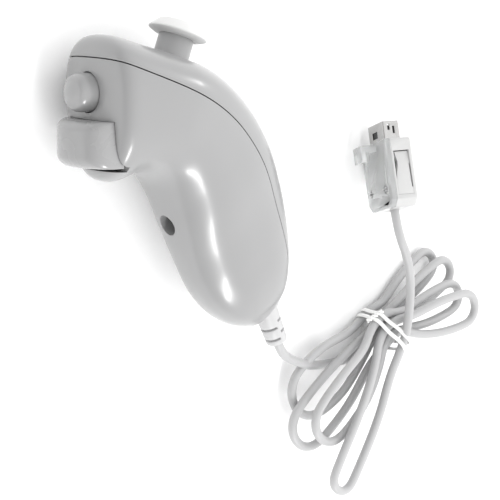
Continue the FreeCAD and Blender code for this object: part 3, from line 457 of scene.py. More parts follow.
def gripRings(inset=0.0, tailLeft=0):
    # All the rings from the middle of the front face to the tail, drawn in by inset
    rows = [(*back, *front, half) for back, front, half in grip["stations"]]
    first = rows[0]
    height = math.hypot(first[0] - first[2], first[1] - first[3])
    rings = []
    for scale in grip["faceScales"]:
        endInset = height / 2 * (1 - scale) + (grip["faceRound"] + inset) * scale
        sideInset = first[4] - (first[4] - grip["faceSideRound"] - inset) * scale
        forward = grip["faceStand"] + grip["faceDome"] * (1 - scale * scale) - inset
        rings.append(gripRing(drawnIn(first, endInset, sideInset), forward))
    for degrees in range(90, 0, -9):
        turn = math.radians(degrees)
        back = 1 - math.cos(turn)
        row = drawnIn(first, grip["faceRound"] * back + inset, grip["faceSideRound"] * back + inset)
        stand = grip["faceStand"] - inset - grip["faceRound"] * (1 - math.sin(turn))
        rings.append(gripRing(row, stand))
    seamRing = len(rings)
    body = smoothRows(rows, grip["ringsBetween"])
    for row in body[:len(body) - tailLeft]:
        rings.append(gripRing(drawnIn(row, inset, inset)))
    if not tailLeft:
        last = rows[-1]
        reach = math.hypot(last[0] - last[2], last[1] - last[3]) / 2
        for scale in grip["tailScales"]:
            rings.append(gripRing(drawnIn(last, reach * (1 - scale), last[4] * (1 - scale))))
    return rings if inset else blendedAcross(rings, seamRing)


def hollowCase(name):
    # The outside and the inside of the case as two closed skins of one mesh
    outside, inside = gripRings(), gripRings(grip["wall"], tailLeft=4)
    points = [tuple(inFrame(p)) for ring in outside + inside for p in ring]
    start = sum(len(ring) for ring in outside)
    mesh = bpy.data.meshes.new(name)
    mesh.from_pydata(points, [], ringFaces(outside) + ringFaces(inside, start, inward=True))
    return mesh


def triggerOutline(front, rear, half, corner, along, steps=10):
    # Straight sides, two round corners and a domed front; as in the part's source
    domeRadius = 15.0
    domeMiddle = front - domeRadius
    reach = math.sqrt((domeRadius - corner) ** 2 - (half - corner) ** 2)
    lean = math.degrees(math.atan2(half - corner, reach))
    points = [(rear, half)] + arcOf(domeMiddle + reach, half - corner, corner, 90, lean, steps)
    points += arcOf(domeMiddle, 0, domeRadius, lean, -lean, 2 * steps)[1:-1]
    points += arcOf(domeMiddle + reach, corner - half, corner, -lean, -90, steps) + [(rear, -half)]
    return [atFace(out, along, side) for out, side in points]


def partingOutline(offset):
    # What lies above the parting line, seen from the side
    side, far, top = -grip["splitSide"], grip["splitFar"], grip["splitTop"]
    rise = offset * 1.1    # the line leans, so the gap across it is narrower than this
    line = [Vector((x, y + rise, side)) for x, y in smoothRows(grip["parting"], 11)]
    return line + [Vector((far, line[-1].y, side)), Vector((far, top, side)), Vector((line[0].x, top, side))]


openings = {
    "gateAt": (-9.0, 16.0), "gateInradius": 9.5, "gateReach": 14.0,
    "buttonRadius": 5.8, "buttonDeep": -8.0, "buttonReach": 12.0,
    "triggerHalf": 11.35, "triggerTop": -7.53, "triggerLow": -21.76, "triggerDeep": -9.9,
    "triggerProud": 6.9, "triggerCorner": 5.5,
    "gripScrewAt": (6.6, -21.1), "gripScrewAxis": (0.74, 0.673), "gripWellReach": 12,
    "headScrewAt": (-12.2, -10.9), "headWellReach": 10, "wellRadius": 3.3, "wellProud": 6,
    "reliefAxis": (0.70, -0.714), "reliefStart": (53.6, -37.6), "reliefRadius": 3.75, "reliefGap": 0.06,
    "reliefProud": 9, "reliefReach": 14,
}


def flat(pair):
    # A vector in the case's middle plane
    return Vector((*pair, 0))


def openingTools():
    # What is cut from the case: the stick's gate, the button, the trigger, two screw wells, the strain relief
    size = openings
    gateRadius = size["gateInradius"] / math.cos(math.pi / 8)
    gate = roundOutline(flat(size["gateAt"]), backWay, leftWay, gateRadius, 8)
    button = atFace(size["buttonDeep"], 0, 0)
    mouth = triggerOutline(size["triggerProud"], size["triggerDeep"], size["triggerHalf"],
                           size["triggerCorner"], size["triggerLow"])
    gripAxis = flat(size["gripScrewAxis"]).normalized()
    gripAt = flat(size["gripScrewAt"]) - gripAxis * size["wellProud"]
    headAt = flat(size["headScrewAt"]) - faceUp * size["wellProud"]
    well = size["wellRadius"]
    reliefAxis = flat(size["reliefAxis"]).normalized()
    reliefAt = flat(size["reliefStart"]) - reliefAxis * size["reliefProud"]
    reliefRadius = size["reliefRadius"] + size["reliefGap"]
    return [
        pushedOutline("gateTool", gate, upWay * size["gateReach"]),
        pushedRound("buttonTool", button, faceUp, leftWay, size["buttonRadius"],
                    faceOut * size["buttonReach"], 64),
        pushedOutline("triggerTool", mouth, faceUp * (size["triggerTop"] - size["triggerLow"])),
        pushedRound("gripWellTool", gripAt, gripAxis.cross(leftWay), leftWay, well,
                    gripAxis * size["gripWellReach"]),
        pushedRound("headWellTool", headAt, faceOut, leftWay, well, faceUp * size["headWellReach"]),
        pushedRound("reliefTool", reliefAt, reliefAxis.cross(leftWay), leftWay, reliefRadius,
                    reliefAxis * size["reliefReach"])]


def buildShells():
    # The case is cut open, then split along the parting line into its two shells
    case = looseObject("caseBlank", hollowCase("caseBlank"))
    cut(case, *openingTools())
    low = looseObject("caseLow", case.data.copy())
    across = leftWay * (2 * grip["splitSide"])
    cut(case, pushedOutline("upperSide", partingOutline(grip["seam"]), across), keepInside=True)
    cut(low, pushedOutline("lowerSide", partingOutline(-grip["seam"]), across))
    for piece, name, node in ((case, "backShell", "top_shell"), (low, "frontShell", "bottom_shell")):
        finished(name, meshOf(piece), node, degrees=40, width=grip["edgeRound"] * 0.001, limit=38)


buildShells()
print("case shells made")


thumbstick = {
    "axisAt": (-9.0, 0, 0), "rimRadius": 8.7, "plateauRadius": 6.1, "underRadius": 7.1, "lowRadius": 5.4,
    "top": 35.6, "rim": 32.5, "rimRound": 0.4, "under": 31.5, "low": 31.2,
    "dishRadius": 4.9, "dishEdge": 5.3, "dishDepth": 0.8,
}


def buildThumbCap():
    # A flat-topped cone with a sharp rim, tucked in underneath, and a thumb dish on top; the small
    # steps soften the edge of its top
    size = thumbstick
    steps = 8
    top, plateau, rimRound = size["top"], size["plateauRadius"], size["rimRound"]
    dish = [(size["dishRadius"] * i / steps, top - 0.05 - size["dishDepth"] * (1 - (i / steps) ** 2))
            for i in range(steps + 1)]
    profile = dish + [(size["dishEdge"], top), (plateau - 0.5, top - 0.02), (plateau, top - 0.2),
                      (plateau + 0.3, top - 0.5)]
    profile += arcOf(size["rimRadius"] - rimRound, size["rim"], rimRound, 45, -60)
    profile += [(size["underRadius"], size["under"]), (size["lowRadius"], size["low"]), (0, size["low"])]
    finished("thumbCap", turned("thumbCap", Vector(size["axisAt"]), upWay, profile), "stick_cap")


buildThumbCap()

pushButton = {
    "radius": 5.45, "crown": 2.5, "shoulder": 3.7, "shoulderOut": 1.75, "side": -1.5,
    "flangeFront": -6.6, "flangeRear": -7.6, "flangeRadius": 6.45, "roomRadius": 3.85, "roomEnd": -1.8,
    "stemRadius": 1.8, "stemEnd": -5.9,
}


def buildRoundButton():
    # A domed crown, a soft shoulder and a straight side, with a flange behind the case's wall
    size = pushButton
    steps = 8
    fall = size["crown"] - size["shoulderOut"]
    dome = [(size["shoulder"] * i / steps, size["crown"] - fall * (i / steps) ** 2) for i in range(steps + 1)]
    shoulder = []
    for degrees in range(12, 91, 13):
        turn = math.radians(degrees)
        shoulder.append((size["shoulder"] + (size["radius"] - size["shoulder"]) * math.sin(turn),
                         size["side"] + (size["shoulderOut"] - size["side"]) * math.cos(turn)))
    behind = [("radius", "flangeFront"), ("flangeRadius", "flangeFront"), ("flangeRadius", "flangeRear"),
              ("roomRadius", "flangeRear"), ("roomRadius", "roomEnd"), ("stemRadius", "roomEnd"),
              ("stemRadius", "stemEnd")]
    behind = [(size[radius], size[height]) for radius, height in behind] + [(0, size["stemEnd"])]
    mesh = turned("roundButton", buttonMiddle, faceOut, dome + shoulder + behind)
    finished("roundButton", mesh, "round_button")


buildRoundButton()

fingerTrigger = {
    "front": 3.9, "rear": -8.3, "half": 11.0, "corner": 6.6, "top": -7.6, "low": -20.6,
    "topRound": 3.0, "lowRound": 3.4, "sideShare": 0.08, "cornerShare": 0.6,
    "roomRear": -9.0, "roomDeep": 3.1, "roomHalf": 3.4, "roomTop": -12.0, "roomLow": -19.2,
    "postSide": 9.6, "postRadius": 2.25, "postReach": 4.0,
    "pivotOut": -9.4, "pivotAlong": -8.2, "eyeRadius": 1.9, "pinRadius": 1.06,
    "armSide": 8.0, "armHalf": 1.0, "armRoot": -7.3, "armTop": -8.2, "holeReach": 6.0,
}


def triggerRing(along, inset):
    size = fingerTrigger
    return triggerOutline(size["front"] - inset, size["rear"], size["half"] - inset * size["sideShare"],
                          size["corner"] - inset * size["cornerShare"], along)


def buildTrigger():
    # Rings up the trigger, drawn in at its top and its bottom, and two arms that turn on the pin
    size = fingerTrigger
    rings = []
    for end, rounding, turns in ((size["low"], size["lowRound"], range(90, -1, -10)),
                                 (size["top"], -size["topRound"], range(0, 91, 10))):
        for degrees in turns:
            turn = math.radians(degrees)
            along = end + rounding * (1 - math.sin(turn))
            rings.append(triggerRing(along, abs(rounding) * (1 - math.cos(turn))))
    skin = looseObject("triggerSkin", stacked("triggerSkin", rings))
    half = size["roomHalf"]
    room = [atFace(size["roomRear"], size[along], side) for along, side in (
        ("roomTop", -half), ("roomTop", half), ("roomLow", half), ("roomLow", -half))]
    tools = [pushedOutline("switchRoom", room, faceOut * size["roomDeep"])]
    for side in (-1, 1):
        post = atFace(size["pivotOut"], size["pivotAlong"], side * size["postSide"])
        tools.append(pushedRound("postRoom", post, faceOut, faceUp, size["postRadius"],
                                 leftWay * (side * size["postReach"]), 32))
    cut(skin, *tools)
    meshes = [meshOf(skin)]
    for side in (-1, 1):
        start = side * size["armSide"] - size["armHalf"]
        corners = arcOf(size["pivotOut"], size["pivotAlong"], size["eyeRadius"], 75, 285, 16)
        corners.append((size["armRoot"], size["pivotAlong"] - size["eyeRadius"]))
        corners.append((size["armRoot"], size["armTop"]))
        arm = [atFace(out, along, start) for out, along in corners]
        blank = pushedOutline("triggerArm", arm, leftWay * (2 * size["armHalf"]))
        pin = atFace(size["pivotOut"], size["pivotAlong"], side * size["armSide"] - size["holeReach"] / 2)
        cut(blank, pushedRound("pinHole", pin, faceOut, faceUp, size["pinRadius"],
                               leftWay * size["holeReach"], 24))
        meshes.append(meshOf(blank))
    finished("fingerTrigger", joined("fingerTrigger", meshes), "trigger", degrees=50)


buildTrigger()
print("stick, button and trigger made")


# Screws from one node tree: a domed head with a cross recess and its shank, set along a row

# Parts of the head's radius: the ball that domes it, how far that is lowered, and the bars of the cross;
# the bars' rise is a part of the head's height
screwHead = {"ball": 1.45, "lowered": 1.12, "barLength": 1.25, "barWidth": 0.26, "barRise": 0.45}


def buildScrewTree():
    tree, given, result = newGroup(
        "screwRow",
        [("Head Radius", "NodeSocketFloat", 0.0014), ("Head Height", "NodeSocketFloat", 0.0009),
         ("Shank Radius", "NodeSocketFloat", 0.00075), ("Shank Length", "NodeSocketFloat", 0.006),
         ("Count", "NodeSocketInt", 2), ("Spacing", "NodeSocketFloat", 0.0124),
         ("Material", "NodeSocketMaterial", None)],
        [("Geometry", "NodeSocketGeometry")], "GeometryNodeTree")
    link = tree.links.new

    def scaled(source, factor):
        return calculated(tree, "MULTIPLY", given[source], factor)

    def vector(parts):
        return addNode(tree, "ShaderNodeCombineXYZ", parts).outputs[0]

    def raised(mesh, height):
        places = {"Geometry": mesh, "Translation": vector({"Z": height})}
        return addNode(tree, "GeometryNodeTransform", places).outputs["Geometry"]

    def rod(count, radius, depth):
        sizes = {"Vertices": count, "Radius": given[radius], "Depth": given[depth]}
        return addNode(tree, "GeometryNodeMeshCylinder", sizes).outputs["Mesh"]

    sizes = {"Segments": 40, "Rings": 24, "Radius": scaled("Head Radius", screwHead["ball"])}
    ball = addNode(tree, "GeometryNodeMeshUVSphere", sizes).outputs["Mesh"]
    domed = addNode(tree, "GeometryNodeMeshBoolean", operation="INTERSECT")
    link(rod(40, "Head Radius", "Head Height"), domed.inputs["Mesh 2"])
    link(raised(ball, scaled("Head Radius", -screwHead["lowered"])), domed.inputs["Mesh 2"])
    crossed = addNode(tree, "GeometryNodeMeshBoolean", {"Mesh 1": domed.outputs["Mesh"]},
                      operation="DIFFERENCE")
    for x, y in (("barLength", "barWidth"), ("barWidth", "barLength")):
        sides = vector({"X": scaled("Head Radius", screwHead[x]), "Y": scaled("Head Radius", screwHead[y]),
                        "Z": given["Head Height"]})
        bar = addNode(tree, "GeometryNodeMeshCube", {"Size": sides}).outputs["Mesh"]
        link(raised(bar, scaled("Head Height", screwHead["barRise"])), crossed.inputs["Mesh 2"])
    shank = rod(24, "Shank Radius", "Shank Length")
    whole = addNode(tree, "GeometryNodeJoinGeometry", {"Geometry": crossed.outputs["Mesh"]})
    link(raised(shank, scaled("Shank Length", -0.5)), whole.inputs["Geometry"])
    spread = {"Count": given["Count"], "Offset": vector({"X": given["Spacing"]})}
    row = addNode(tree, "GeometryNodeMeshLine", spread).outputs["Mesh"]
    placed = addNode(tree, "GeometryNodeInstanceOnPoints",
                     {"Points": row, "Instance": whole.outputs["Geometry"]}).outputs["Instances"]
    real = addNode(tree, "GeometryNodeRealizeInstances", {"Geometry": placed}).outputs["Geometry"]
    coat = addNode(tree, "GeometryNodeSetMaterial", {"Geometry": real, "Material": given["Material"]})
    link(coat.outputs["Geometry"], result["Geometry"])
    return tree


screwRow = buildScrewTree()


def screwMesh(first, outward, rowWay, material, count, **lengths):
    # The row starts at first (mm), the middle of that head's height; its heads look outward
    holder = looseObject("screwHolder", bpy.data.meshes.new("screwHolder"))
    step = holder.modifiers.new("screwRow", "NODES")
    step.node_group = screwRow
    wanted = {"Count": count, "Material": material}
    for label, key in (("Head Radius", "headRadius"), ("Head Height", "headHeight"), ("Spacing", "spacing"),
                       ("Shank Radius", "shankRadius"), ("Shank Length", "shankLength")):
        wanted[label] = lengths[key] * 0.001
    for socket in screwRow.interface.items_tree:
        if socket.in_out == "INPUT":
            step[socket.identifier] = wanted[socket.name]
    graph = bpy.context.evaluated_depsgraph_get()
    mesh = bpy.data.meshes.new_from_object(holder.evaluated_get(graph))
    holder.modifiers.clear()
    bpy.data.objects.remove(holder)
    turn = Matrix((rowWay, outward.cross(rowWay), outward)).transposed()
    mesh.transform(Matrix.Translation(inFrame(first)) @ turn.to_4x4())
    return mesh


# The cord: one smooth line from the strain relief through the hank to the plug

floorHeight = -19.2    # the surface that the object lies on, mm
cordRadius = 1.5
cord = {
    # Height of the lowest layer's middle, the step from layer to layer and across, and where the tie sits
    "rest": floorHeight + cordRadius + 0.7, "layer": 3.5,
    "waist": (115.6, -31.1), "bundleTurn": 56, "tailLeave": 84,
    "lead": [(60.6, -44.74, 0), (63.3, -47.4, 0), (68.6, -48.8, -2.5), (77.3, -49.2, -8.0),
             (90.3, -49.7, -14.5), (101.6, -47.0, -17.0), (110.5, -43.5, -17.0)],
    "tail": [(115.0, -15.0, -2.6), (108.5, -6.2, -1.2)],
    "halfPass": 4.0,    # half the straight that each pass runs through the tie, mm
    "straightIn": 7.0,  # how far behind the plug the tail lines up with it, mm
    # Each pass through the tie: its place across and its height, both in layers
    "passes": [(-1.5, 0), (1.5, 0), (-0.5, 0.85), (0.5, 0.85), (-1.5, 1.75), (1.5, 2.0),
               (-0.5, 2.6), (0.5, 2.6), (-1.1, 4.0)],
    # Each loop between two passes: bearing in degrees, length, half width, height in layers
    "loops": [(57, 36, 4.8, 0), (229, 42, 9.5, 1.1), (49, 38, 4.8, 1.25), (239, 50, 8.0, 2.12),
              (36, 35, 5.0, 2.5), (241, 45, 7.6, 3.8), (28, 38, 5.6, 3.75), (258.5, 56, 4.4, 5.0)],
    # The outline of one loop: how far out, as a part of its length plus a part of its half width, how far
    # sideways, as a part of its half width, and how much of the way it has risen to its own height
    "loopShape": [(0.26, 0, -0.60, 0.45), (0.52, 0, -1.0, 0.9), (1, -1.3, -1.06, 1.0), (1, -0.40, -0.92, 1.0),
                  (1, 0.08, -0.38, 1.0), (1, 0.08, 0.38, 1.0), (1, -0.40, 0.92, 1.0), (1, -1.3, 1.06, 1.0),
                  (0.52, 0, 1.0, 0.9), (0.26, 0, 0.60, 0.45)],
}
plug = {
    "origin": (90.6, 28.8, -8.8), "along": (-0.279, 0.919, -0.28), "up": (-0.404, 0.153, 0.902),
    "length": 22.7, "jacketEnd": 16.6,
}
plugAlong = Vector(plug["along"]).normalized()
plugUp = Vector(plug["up"])
plugUp = (plugUp - plugAlong * plugUp.dot(plugAlong)).normalized()
plugAcross = plugAlong.cross(plugUp)


def atPlug(across, along, high):
    return Vector(plug["origin"]) + plugAcross * across + plugAlong * along + plugUp * high


def bearing(degrees):
    # A flat direction at an angle from the frame's first axis
    return Vector((math.cos(math.radians(degrees)), math.sin(math.radians(degrees)), 0))


waist = Vector((*cord["waist"], cord["rest"]))
alongBundle = bearing(cord["bundleTurn"])
acrossBundle = Vector((-alongBundle.y, alongBundle.x, 0))


def cordPoints():
    # The control points of the whole cord, from the strain relief to the plug
    points = [Vector(p) for p in cord["lead"]]
    passes = cord["passes"]
    for i, (place, height) in enumerate(passes):
        heading = alongBundle * (1 if i % 2 == 0 else -1)
        if i == len(passes) - 1:
            heading = bearing(cord["tailLeave"])
        middle = waist + acrossBundle * (place * cord["layer"]) + leftWay * (height * cord["layer"])
        points += [middle - heading * cord["halfPass"], middle + heading * cord["halfPass"]]
        if i < len(cord["loops"]):
            degrees, length, half, high = cord["loops"][i]
            outward = bearing(degrees)
            sideways = leftWay.cross(outward)
            nextHeight = passes[i + 1][1]
            for far, drawnBack, wide, risen in cord["loopShape"]:
                own = height if wide < 0 else nextHeight
                level = own + (high - own) * risen
                reach = length * far + half * drawnBack
                points.append(waist + outward * reach + sideways * (half * wide)
                              + leftWay * (level * cord["layer"]))
    points += [Vector(p) for p in cord["tail"]]
    return points + [atPlug(0, -plug["length"] - cord["straightIn"], 0), atPlug(0, -plug["jacketEnd"], 0)]


tie = {
    "slack": 0.45, "underRoom": 0.35, "wrapOffset": 1.6, "pinch": 0.2, "halfWidth": 0.72, "film": 0.17,
    "steps": 96, "evenings": 4, "wave": 0.12, "waves": 7,
    "twistTurns": 2.5, "twistLength": 6.5, "twistRadius": 0.42, "twistHidden": 0.12, "twistSteps": 40,
    "strand": 0.38,
    # Across, up and along the bundle: where the twist starts, from the outermost point, and the way it
    # goes; height counts for a third when that point is chosen
    "twistRoot": (0.4, 0.3, 1.8), "twistWay": (0.12, -0.2, -0.95), "heightShare": 0.35,
    # The strip's outline, in half widths and film thicknesses, with the wire's swell in the middle
    "section": [(-1, 0), (-0.93, 1), (-0.42, 1.1), (-0.2, 2), (0.2, 2), (0.42, 1.1), (0.93, 1), (1, 0),
                (0.93, -1), (-0.93, -1)],
}


def hullOf(points):
    # The convex outline of flat points, anticlockwise
    points = sorted(points)
    outline = []
    for run in (points, points[::-1]):
        part = []
        for point in run:
            while len(part) > 1 and ((part[-1][0] - part[-2][0]) * (point[1] - part[-2][1])
                                     - (part[-1][1] - part[-2][1]) * (point[0] - part[-2][0])) <= 0:
                part.pop()
            part.append(point)
        outline += part[:-1]
    return outline


def evenly(outline, count):
    # Points at even spacing along a closed outline
    closed = outline + outline[:1]
    runs = [math.dist(a, b) for a, b in zip(closed, closed[1:])]
    total, made = sum(runs), []
    for i in range(count):
        goal, k = total * i / count, 0
        while goal > runs[k]:
            goal -= runs[k]
            k += 1
        part = goal / runs[k]
        made.append((closed[k][0] + (closed[k + 1][0] - closed[k][0]) * part,
                     closed[k][1] + (closed[k + 1][1] - closed[k][1]) * part))
    return made


def wrapPath():
    # The path of a tie pulled round every pass of the bundle: across and height, mm from the waist
    size, ring = tie, []
    reach = cordRadius + size["slack"]
    for place, height in cord["passes"]:
        for i in range(20):
            turn = 2 * math.pi * i / 20
            level = max(height * cord["layer"] + reach * math.sin(turn), -cordRadius - size["underRoom"])
            ring.append((place * cord["layer"] + reach * math.cos(turn), level))
    path = evenly(hullOf(ring), size["steps"])
    for _ in range(size["evenings"]):
        path = [tuple((path[i - 1][k] + 2 * path[i][k] + path[(i + 1) % len(path)][k]) / 4 for k in range(2))
                for i in range(len(path))]
    return path


def sweptTube(path, radius, count=10):
    # A round strand along open points
    rings = []
    for i, here in enumerate(path):
        heading = (path[min(i + 1, len(path) - 1)] - path[max(i - 1, 0)]).normalized()
        first = heading.cross(leftWay).normalized()
        rings.append(roundOutline(here, first, heading.cross(first), radius, count))
    return stacked("strand", rings)


def buildTie():
    # Two turns of a flat tie with a wire inside, drawn together where its ends are twisted
    size = tie
    path = wrapPath()
    middleHeight = sum(p[1] for p in path) / len(path)
    widest = max(p[0] for p in path)
    section = size["section"]
    meshes = []
    for side in (-1, 1):
        points = []
        for i, (across, height) in enumerate(path):
            before, after = path[i - 1], path[(i + 1) % len(path)]
            out = Vector((after[1] - before[1], before[0] - after[0])).normalized()
            near = max(0.0, across / widest)
            offset = side * size["wrapOffset"] * (1 - size["pinch"] * near)
            wave = size["wave"] * math.sin(size["waves"] * 2 * math.pi * i / len(path) + side)
            for wide, thick in section:
                away = thick * size["film"]
                points.append(waist + acrossBundle * (across + out.x * away)
                              + leftWay * (height + out.y * away)
                              + alongBundle * (offset + wave + wide * size["halfWidth"]))
        count = len(section)
        faces = []
        for i in range(len(path)):
            for k in range(count):
                m, n = (k + 1) % count, (i + 1) % len(path)
                faces.append((i * count + k, i * count + m, n * count + m, n * count + k))
        meshes.append(meshFrom("wrap", points, faces))
    start = max(path, key=lambda p: p[0] + size["heightShare"] * (p[1] - middleHeight))
    across, high, along = size["twistRoot"]
    root = waist + acrossBundle * (start[0] + across) + leftWay * (start[1] + high) + alongBundle * along
    across, high, along = size["twistWay"]
    heading = (acrossBundle * across + alongBundle * along + leftWay * high).normalized()
    first = heading.orthogonal().normalized()
    second = heading.cross(first)
    for phase in (0, math.pi):
        strand = []
        for i in range(size["twistSteps"] + 1):
            part = i / size["twistSteps"]
            angle = phase + 2 * math.pi * size["twistTurns"] * part
            strand.append(root + heading * (size["twistLength"] * (part - size["twistHidden"]))
                          + (first * math.cos(angle) + second * math.sin(angle)) * size["twistRadius"])
        meshes.append(sweptTube(strand, size["strand"]))
    return finished("twistTie", joined("twistTie", meshes), "cord_tie", degrees=50)


twistTie = buildTie()


# Visible nodes that keep their solids' shape, with their edges softened

keptShapes = {
    node: finished(pieceName, weldedCopy(node), node, width=width, segments=2, miter="MITER_ARC")
    for node, pieceName, width in (
        ("stick_stem", "stickStem", 0.0001), ("strain_relief", "strainRelief", 0.0001),
        ("plug_shell_white", "plugWhiteHalf", 0.00012), ("plug_shell_clear", "plugClearHalf", 0.0002),
        ("plug_nose", "plugNose", 0.00008))}


def buildPlugScrews():
    # Two screws sunk in the clear half, with bright plated heads
    mesh = screwMesh(atPlug(-4.85, -16.4, -6.2), -plugAcross, plugUp, finish["brightScrew"], 2, spacing=12.4,
                     headRadius=1.4, headHeight=0.9, shankRadius=0.75, shankLength=6.6)
    return finished("plugScrews", mesh, "plug_screws", degrees=30, look="brightScrew")


# Where each case screw sits: the opening's middle, the way it points and the depth where its head seats
wellSeats = [(flat(openings["gripScrewAt"]), flat(openings["gripScrewAxis"]).normalized(), 14.0),
             (flat(openings["headScrewAt"]), faceUp, 6.0)]


def buildCaseScrews():
    # One screw at the bottom of each well, at the depth where its head seats
    meshes = [screwMesh(place + axis * (seat - 0.9), -axis, leftWay, finish["zincSteel"], 1, spacing=1.0,
                        headRadius=2.4, headHeight=1.8, shankRadius=1.2, shankLength=9.9)
              for place, axis, seat in wellSeats]
    return finished("caseScrews", joined("caseScrews", meshes), "case_screws", degrees=30)


def buildScrewWells():
    # A cup under each opening over a case screw: its wall meets the shell, its floor carries the screw's head
    radius, wall, meets, lip = openings["wellRadius"], 1.2, 2.0, 0.9
    outer, inner = radius + wall, radius - 0.06
    cups = []
    for place, axis, seat in wellSeats:
        profile = [(0, seat + wall), (outer, seat + wall), (outer, meets), (radius - 0.01, meets),
                   (radius - 0.03, lip), (inner, lip), (inner, seat), (0, seat)]
        cups.append(turned("cup", place, axis, profile))
    mesh = joined("screwWells", cups)
    placeMesh("screwWells", mesh, finish["greyCasePlastic"], "case")
    smoothByAngle(mesh, 30)


plugScrews = buildPlugScrews()
buildCaseScrews()
buildScrewWells()

lever = {
    "left": -1.96, "right": 3.46, "rear": -18.84, "bend": -14.0, "free": -4.6, "top": 9.6, "drop": 0.7,
    "thick": 1.5, "pinLeft": -2.25, "pinBack": -18.0, "pinDown": 0.8, "pinRadius": 0.5, "pinLength": 6.0,
    "footLeft": -1.3, "footRight": 3.0, "footDown": 3.0, "footBack": -6.4, "footThick": 1.4,
}


def leverOutline():
    # Seen from outside: a wedge opens on its left side and a slot on its right; across and along
    size = lever
    wedge = [(size["left"], size["bend"]), (-1.55, -11.6), (-0.95, -9.4), (-0.75, -8.0), (-1.1, -6.2),
             (-1.4, size["free"])]
    slot = [(size["right"], size["free"]), (size["right"], -8.7), (3.14, -8.9), (3.14, size["bend"]),
            (3.14, -16.6), (size["right"], -16.8)]
    return [(size["left"], size["rear"])] + wedge + slot + [(size["right"], size["rear"])]


def buildLever(name, node, side):
    # A tongue that sinks towards its free end, the foot under it and the pin it turns on
    size = lever
    outline = []
    for across, along in leverOutline():
        sunk = size["drop"] * min(max((along - size["bend"]) / (size["free"] - size["bend"]), 0), 1)
        outline.append(atPlug(across, along, side * (size["top"] - sunk - size["thick"])))
    base = [atPlug(size[across], size[along], side * (size["top"] - size["footDown"])) for across, along in (
        ("footLeft", "footBack"), ("footLeft", "free"), ("footRight", "free"), ("footRight", "footBack"))]
    pinAt = atPlug(size["pinLeft"], size["pinBack"], side * (size["top"] - size["pinDown"]))
    parts = [pushedOutline("leverTongue", outline, plugUp * (side * size["thick"])),
             pushedOutline("leverFoot", base, plugUp * (side * size["footThick"])),
             pushedRound("leverPin", pinAt, plugAlong, plugUp, size["pinRadius"],
                         plugAcross * size["pinLength"], 20)]
    mesh = joined(name, [meshOf(part) for part in parts])
    return finished(name, mesh, node, width=0.00005)


upperLever = buildLever("upperLever", "latch_lever_upper", 1)
lowerLever = buildLever("lowerLever", "latch_lever_lower", -1)
print("plug pieces made")


def buildCord():
    curve = bpy.data.curves.new("cord", "CURVE")
    curve.dimensions = "3D"
    spline = curve.splines.new("NURBS")
    points = cordPoints()
    spline.points.add(len(points) - 1)
    for point, place in zip(spline.points, points):
        point.co = (*inFrame(place), 1)
    spline.order_u = 3
    spline.use_endpoint_u = True
    spline.resolution_u = 6
    curve.bevel_depth = cordRadius * 0.001
    curve.bevel_resolution = 5
    curve.use_fill_caps = True
    piece = looseObject("cordLine", curve)
    curve.materials.append(finish["cordVinyl"])
    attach(piece, "case")
    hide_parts("cord_lead", "cord_hank", "cord_tail")
    onCord = ["plug_board", "plug_carrier", "plug_contacts", "plug_wires"]
    onCord += [plugScrews, upperLever, lowerLever, twistTie]
    onCord += [keptShapes[node] for node in ("plug_shell_white", "plug_shell_clear", "plug_nose")]


buildCord()
print("cord laid")


# Camera at the photograph's angle

def aimCamera():
    toRight = Vector((0.7271, 0.2753, 0.6289))
    toTop = Vector((-0.2435, 0.9599, -0.1386))
    toEye = Vector((-0.6419, -0.0523, 0.7650))
    picture, focal = 500, 1550    # width of the picture and focal length, in pixels
    distance = 450.0              # from the eye to the case's own origin, mm
    originX, originY = 170, 150   # where that origin shows in the picture
    x = (originX - picture / 2) / focal * distance
    y = -(originY - picture / 2) / focal * distance
    eye = toRight * -x + toTop * -y + toEye * distance
    camera = bpy.data.cameras.new("photoCamera")
    camera.sensor_width = 36
    camera.lens = 36 * (focal / picture)
    camera.clip_start = 0.01
    camera.clip_end = 10
    holder = looseObject("photoCamera", camera)
    turn = Matrix((toRight, toTop, toEye)).transposed()
    holder.matrix_world = Matrix.Translation(inFrame(eye)) @ turn.to_4x4()
    bpy.context.scene.camera = holder


aimCamera()


# Studio: a pale floor, a room that is brighter on one side, and two lamps for the highlights

def addPanel(name, place, target, size, power):
    light = bpy.data.lights.new(name, "AREA")
    light.shape = "RECTANGLE"
    light.size, light.size_y = size
    light.energy = power
    holder = looseObject(name, light)
    holder.location = place
    holder.rotation_euler = (target - place).to_track_quat("-Z", "Y").to_euler()


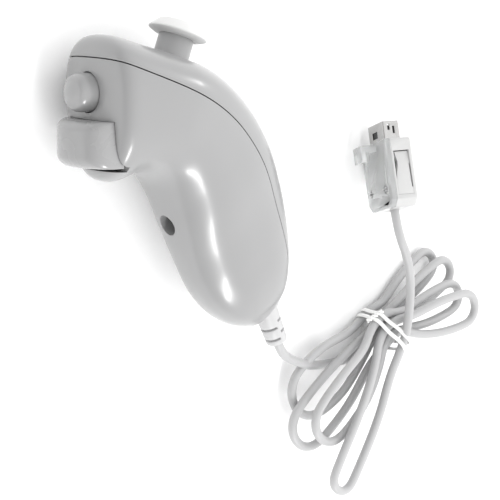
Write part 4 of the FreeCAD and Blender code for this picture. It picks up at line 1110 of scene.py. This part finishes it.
studio = {
    "brightSide": Vector((0.62, 0.26, 0.74)).normalized(), "dimmest": 0.12, "brightest": 1.85,
    "floorHalf": 4.0, "floorDrop": 0.0002, "lampTarget": Vector((0.03, 0, 0.02)),
    # name, bearing and rise in degrees, distance, width and height in metres, watts
    "panels": [("gripStreak", -82, 36, 0.9, (0.085, 0.34), 3.4),
               ("headSpark", 59, 25, 0.9, (0.12, 0.12), 0.8)],
}


def buildFloor():
    # A large pale sheet with a faint paper grain, just under the object
    half = studio["floorHalf"]
    mesh = bpy.data.meshes.new("floorSheet")
    corners = [(half * x, half * y, -studio["floorDrop"]) for x, y in ((-1, -1), (1, -1), (1, 1), (-1, 1))]
    mesh.from_pydata(corners, [], [(0, 1, 2, 3)])
    material = bpy.data.materials.new("floorPaper")
    material.use_nodes = True
    tree = material.node_tree
    shader = tree.nodes["Principled BSDF"]
    fibre = noiseOver(tree, {"Scale": 400})
    tone = addNode(tree, "ShaderNodeMapRange", {"Value": fibre, "To Min": 0.94, "To Max": 0.97})
    tree.links.new(tone.outputs["Result"], shader.inputs["Base Color"])
    shader.inputs["Roughness"].default_value = 0.9
    mesh.materials.append(material)
    sheet = looseObject("floorSheet", mesh)


def buildRoom():
    # A white room that is brighter towards one side
    world = bpy.data.worlds.new("paleRoom")
    world.use_nodes = True
    tree = world.node_tree
    sky = addNode(tree, "ShaderNodeTexCoord")
    ways = {0: sky.outputs["Generated"], 1: studio["brightSide"]}
    toward = addNode(tree, "ShaderNodeVectorMath", ways, operation="DOT_PRODUCT")
    glow = addNode(tree, "ShaderNodeMapRange", {
        "Value": toward.outputs["Value"], "From Min": -1.0, "To Min": studio["dimmest"],
        "To Max": studio["brightest"]})
    background = tree.nodes["Background"]
    background.inputs["Color"].default_value = (1, 1, 1, 1)
    tree.links.new(glow.outputs["Result"], background.inputs["Strength"])
    bpy.context.scene.world = world


buildFloor()
buildRoom()
for name, degrees, rise, far, size, power in studio["panels"]:
    lift = math.radians(rise)
    way = bearing(degrees) * math.cos(lift) + leftWay * math.sin(lift)
    addPanel(name, studio["lampTarget"] + way * far, studio["lampTarget"], size, power)
bpy.context.scene.view_settings.view_transform = "Standard"
print("camera and studio set")
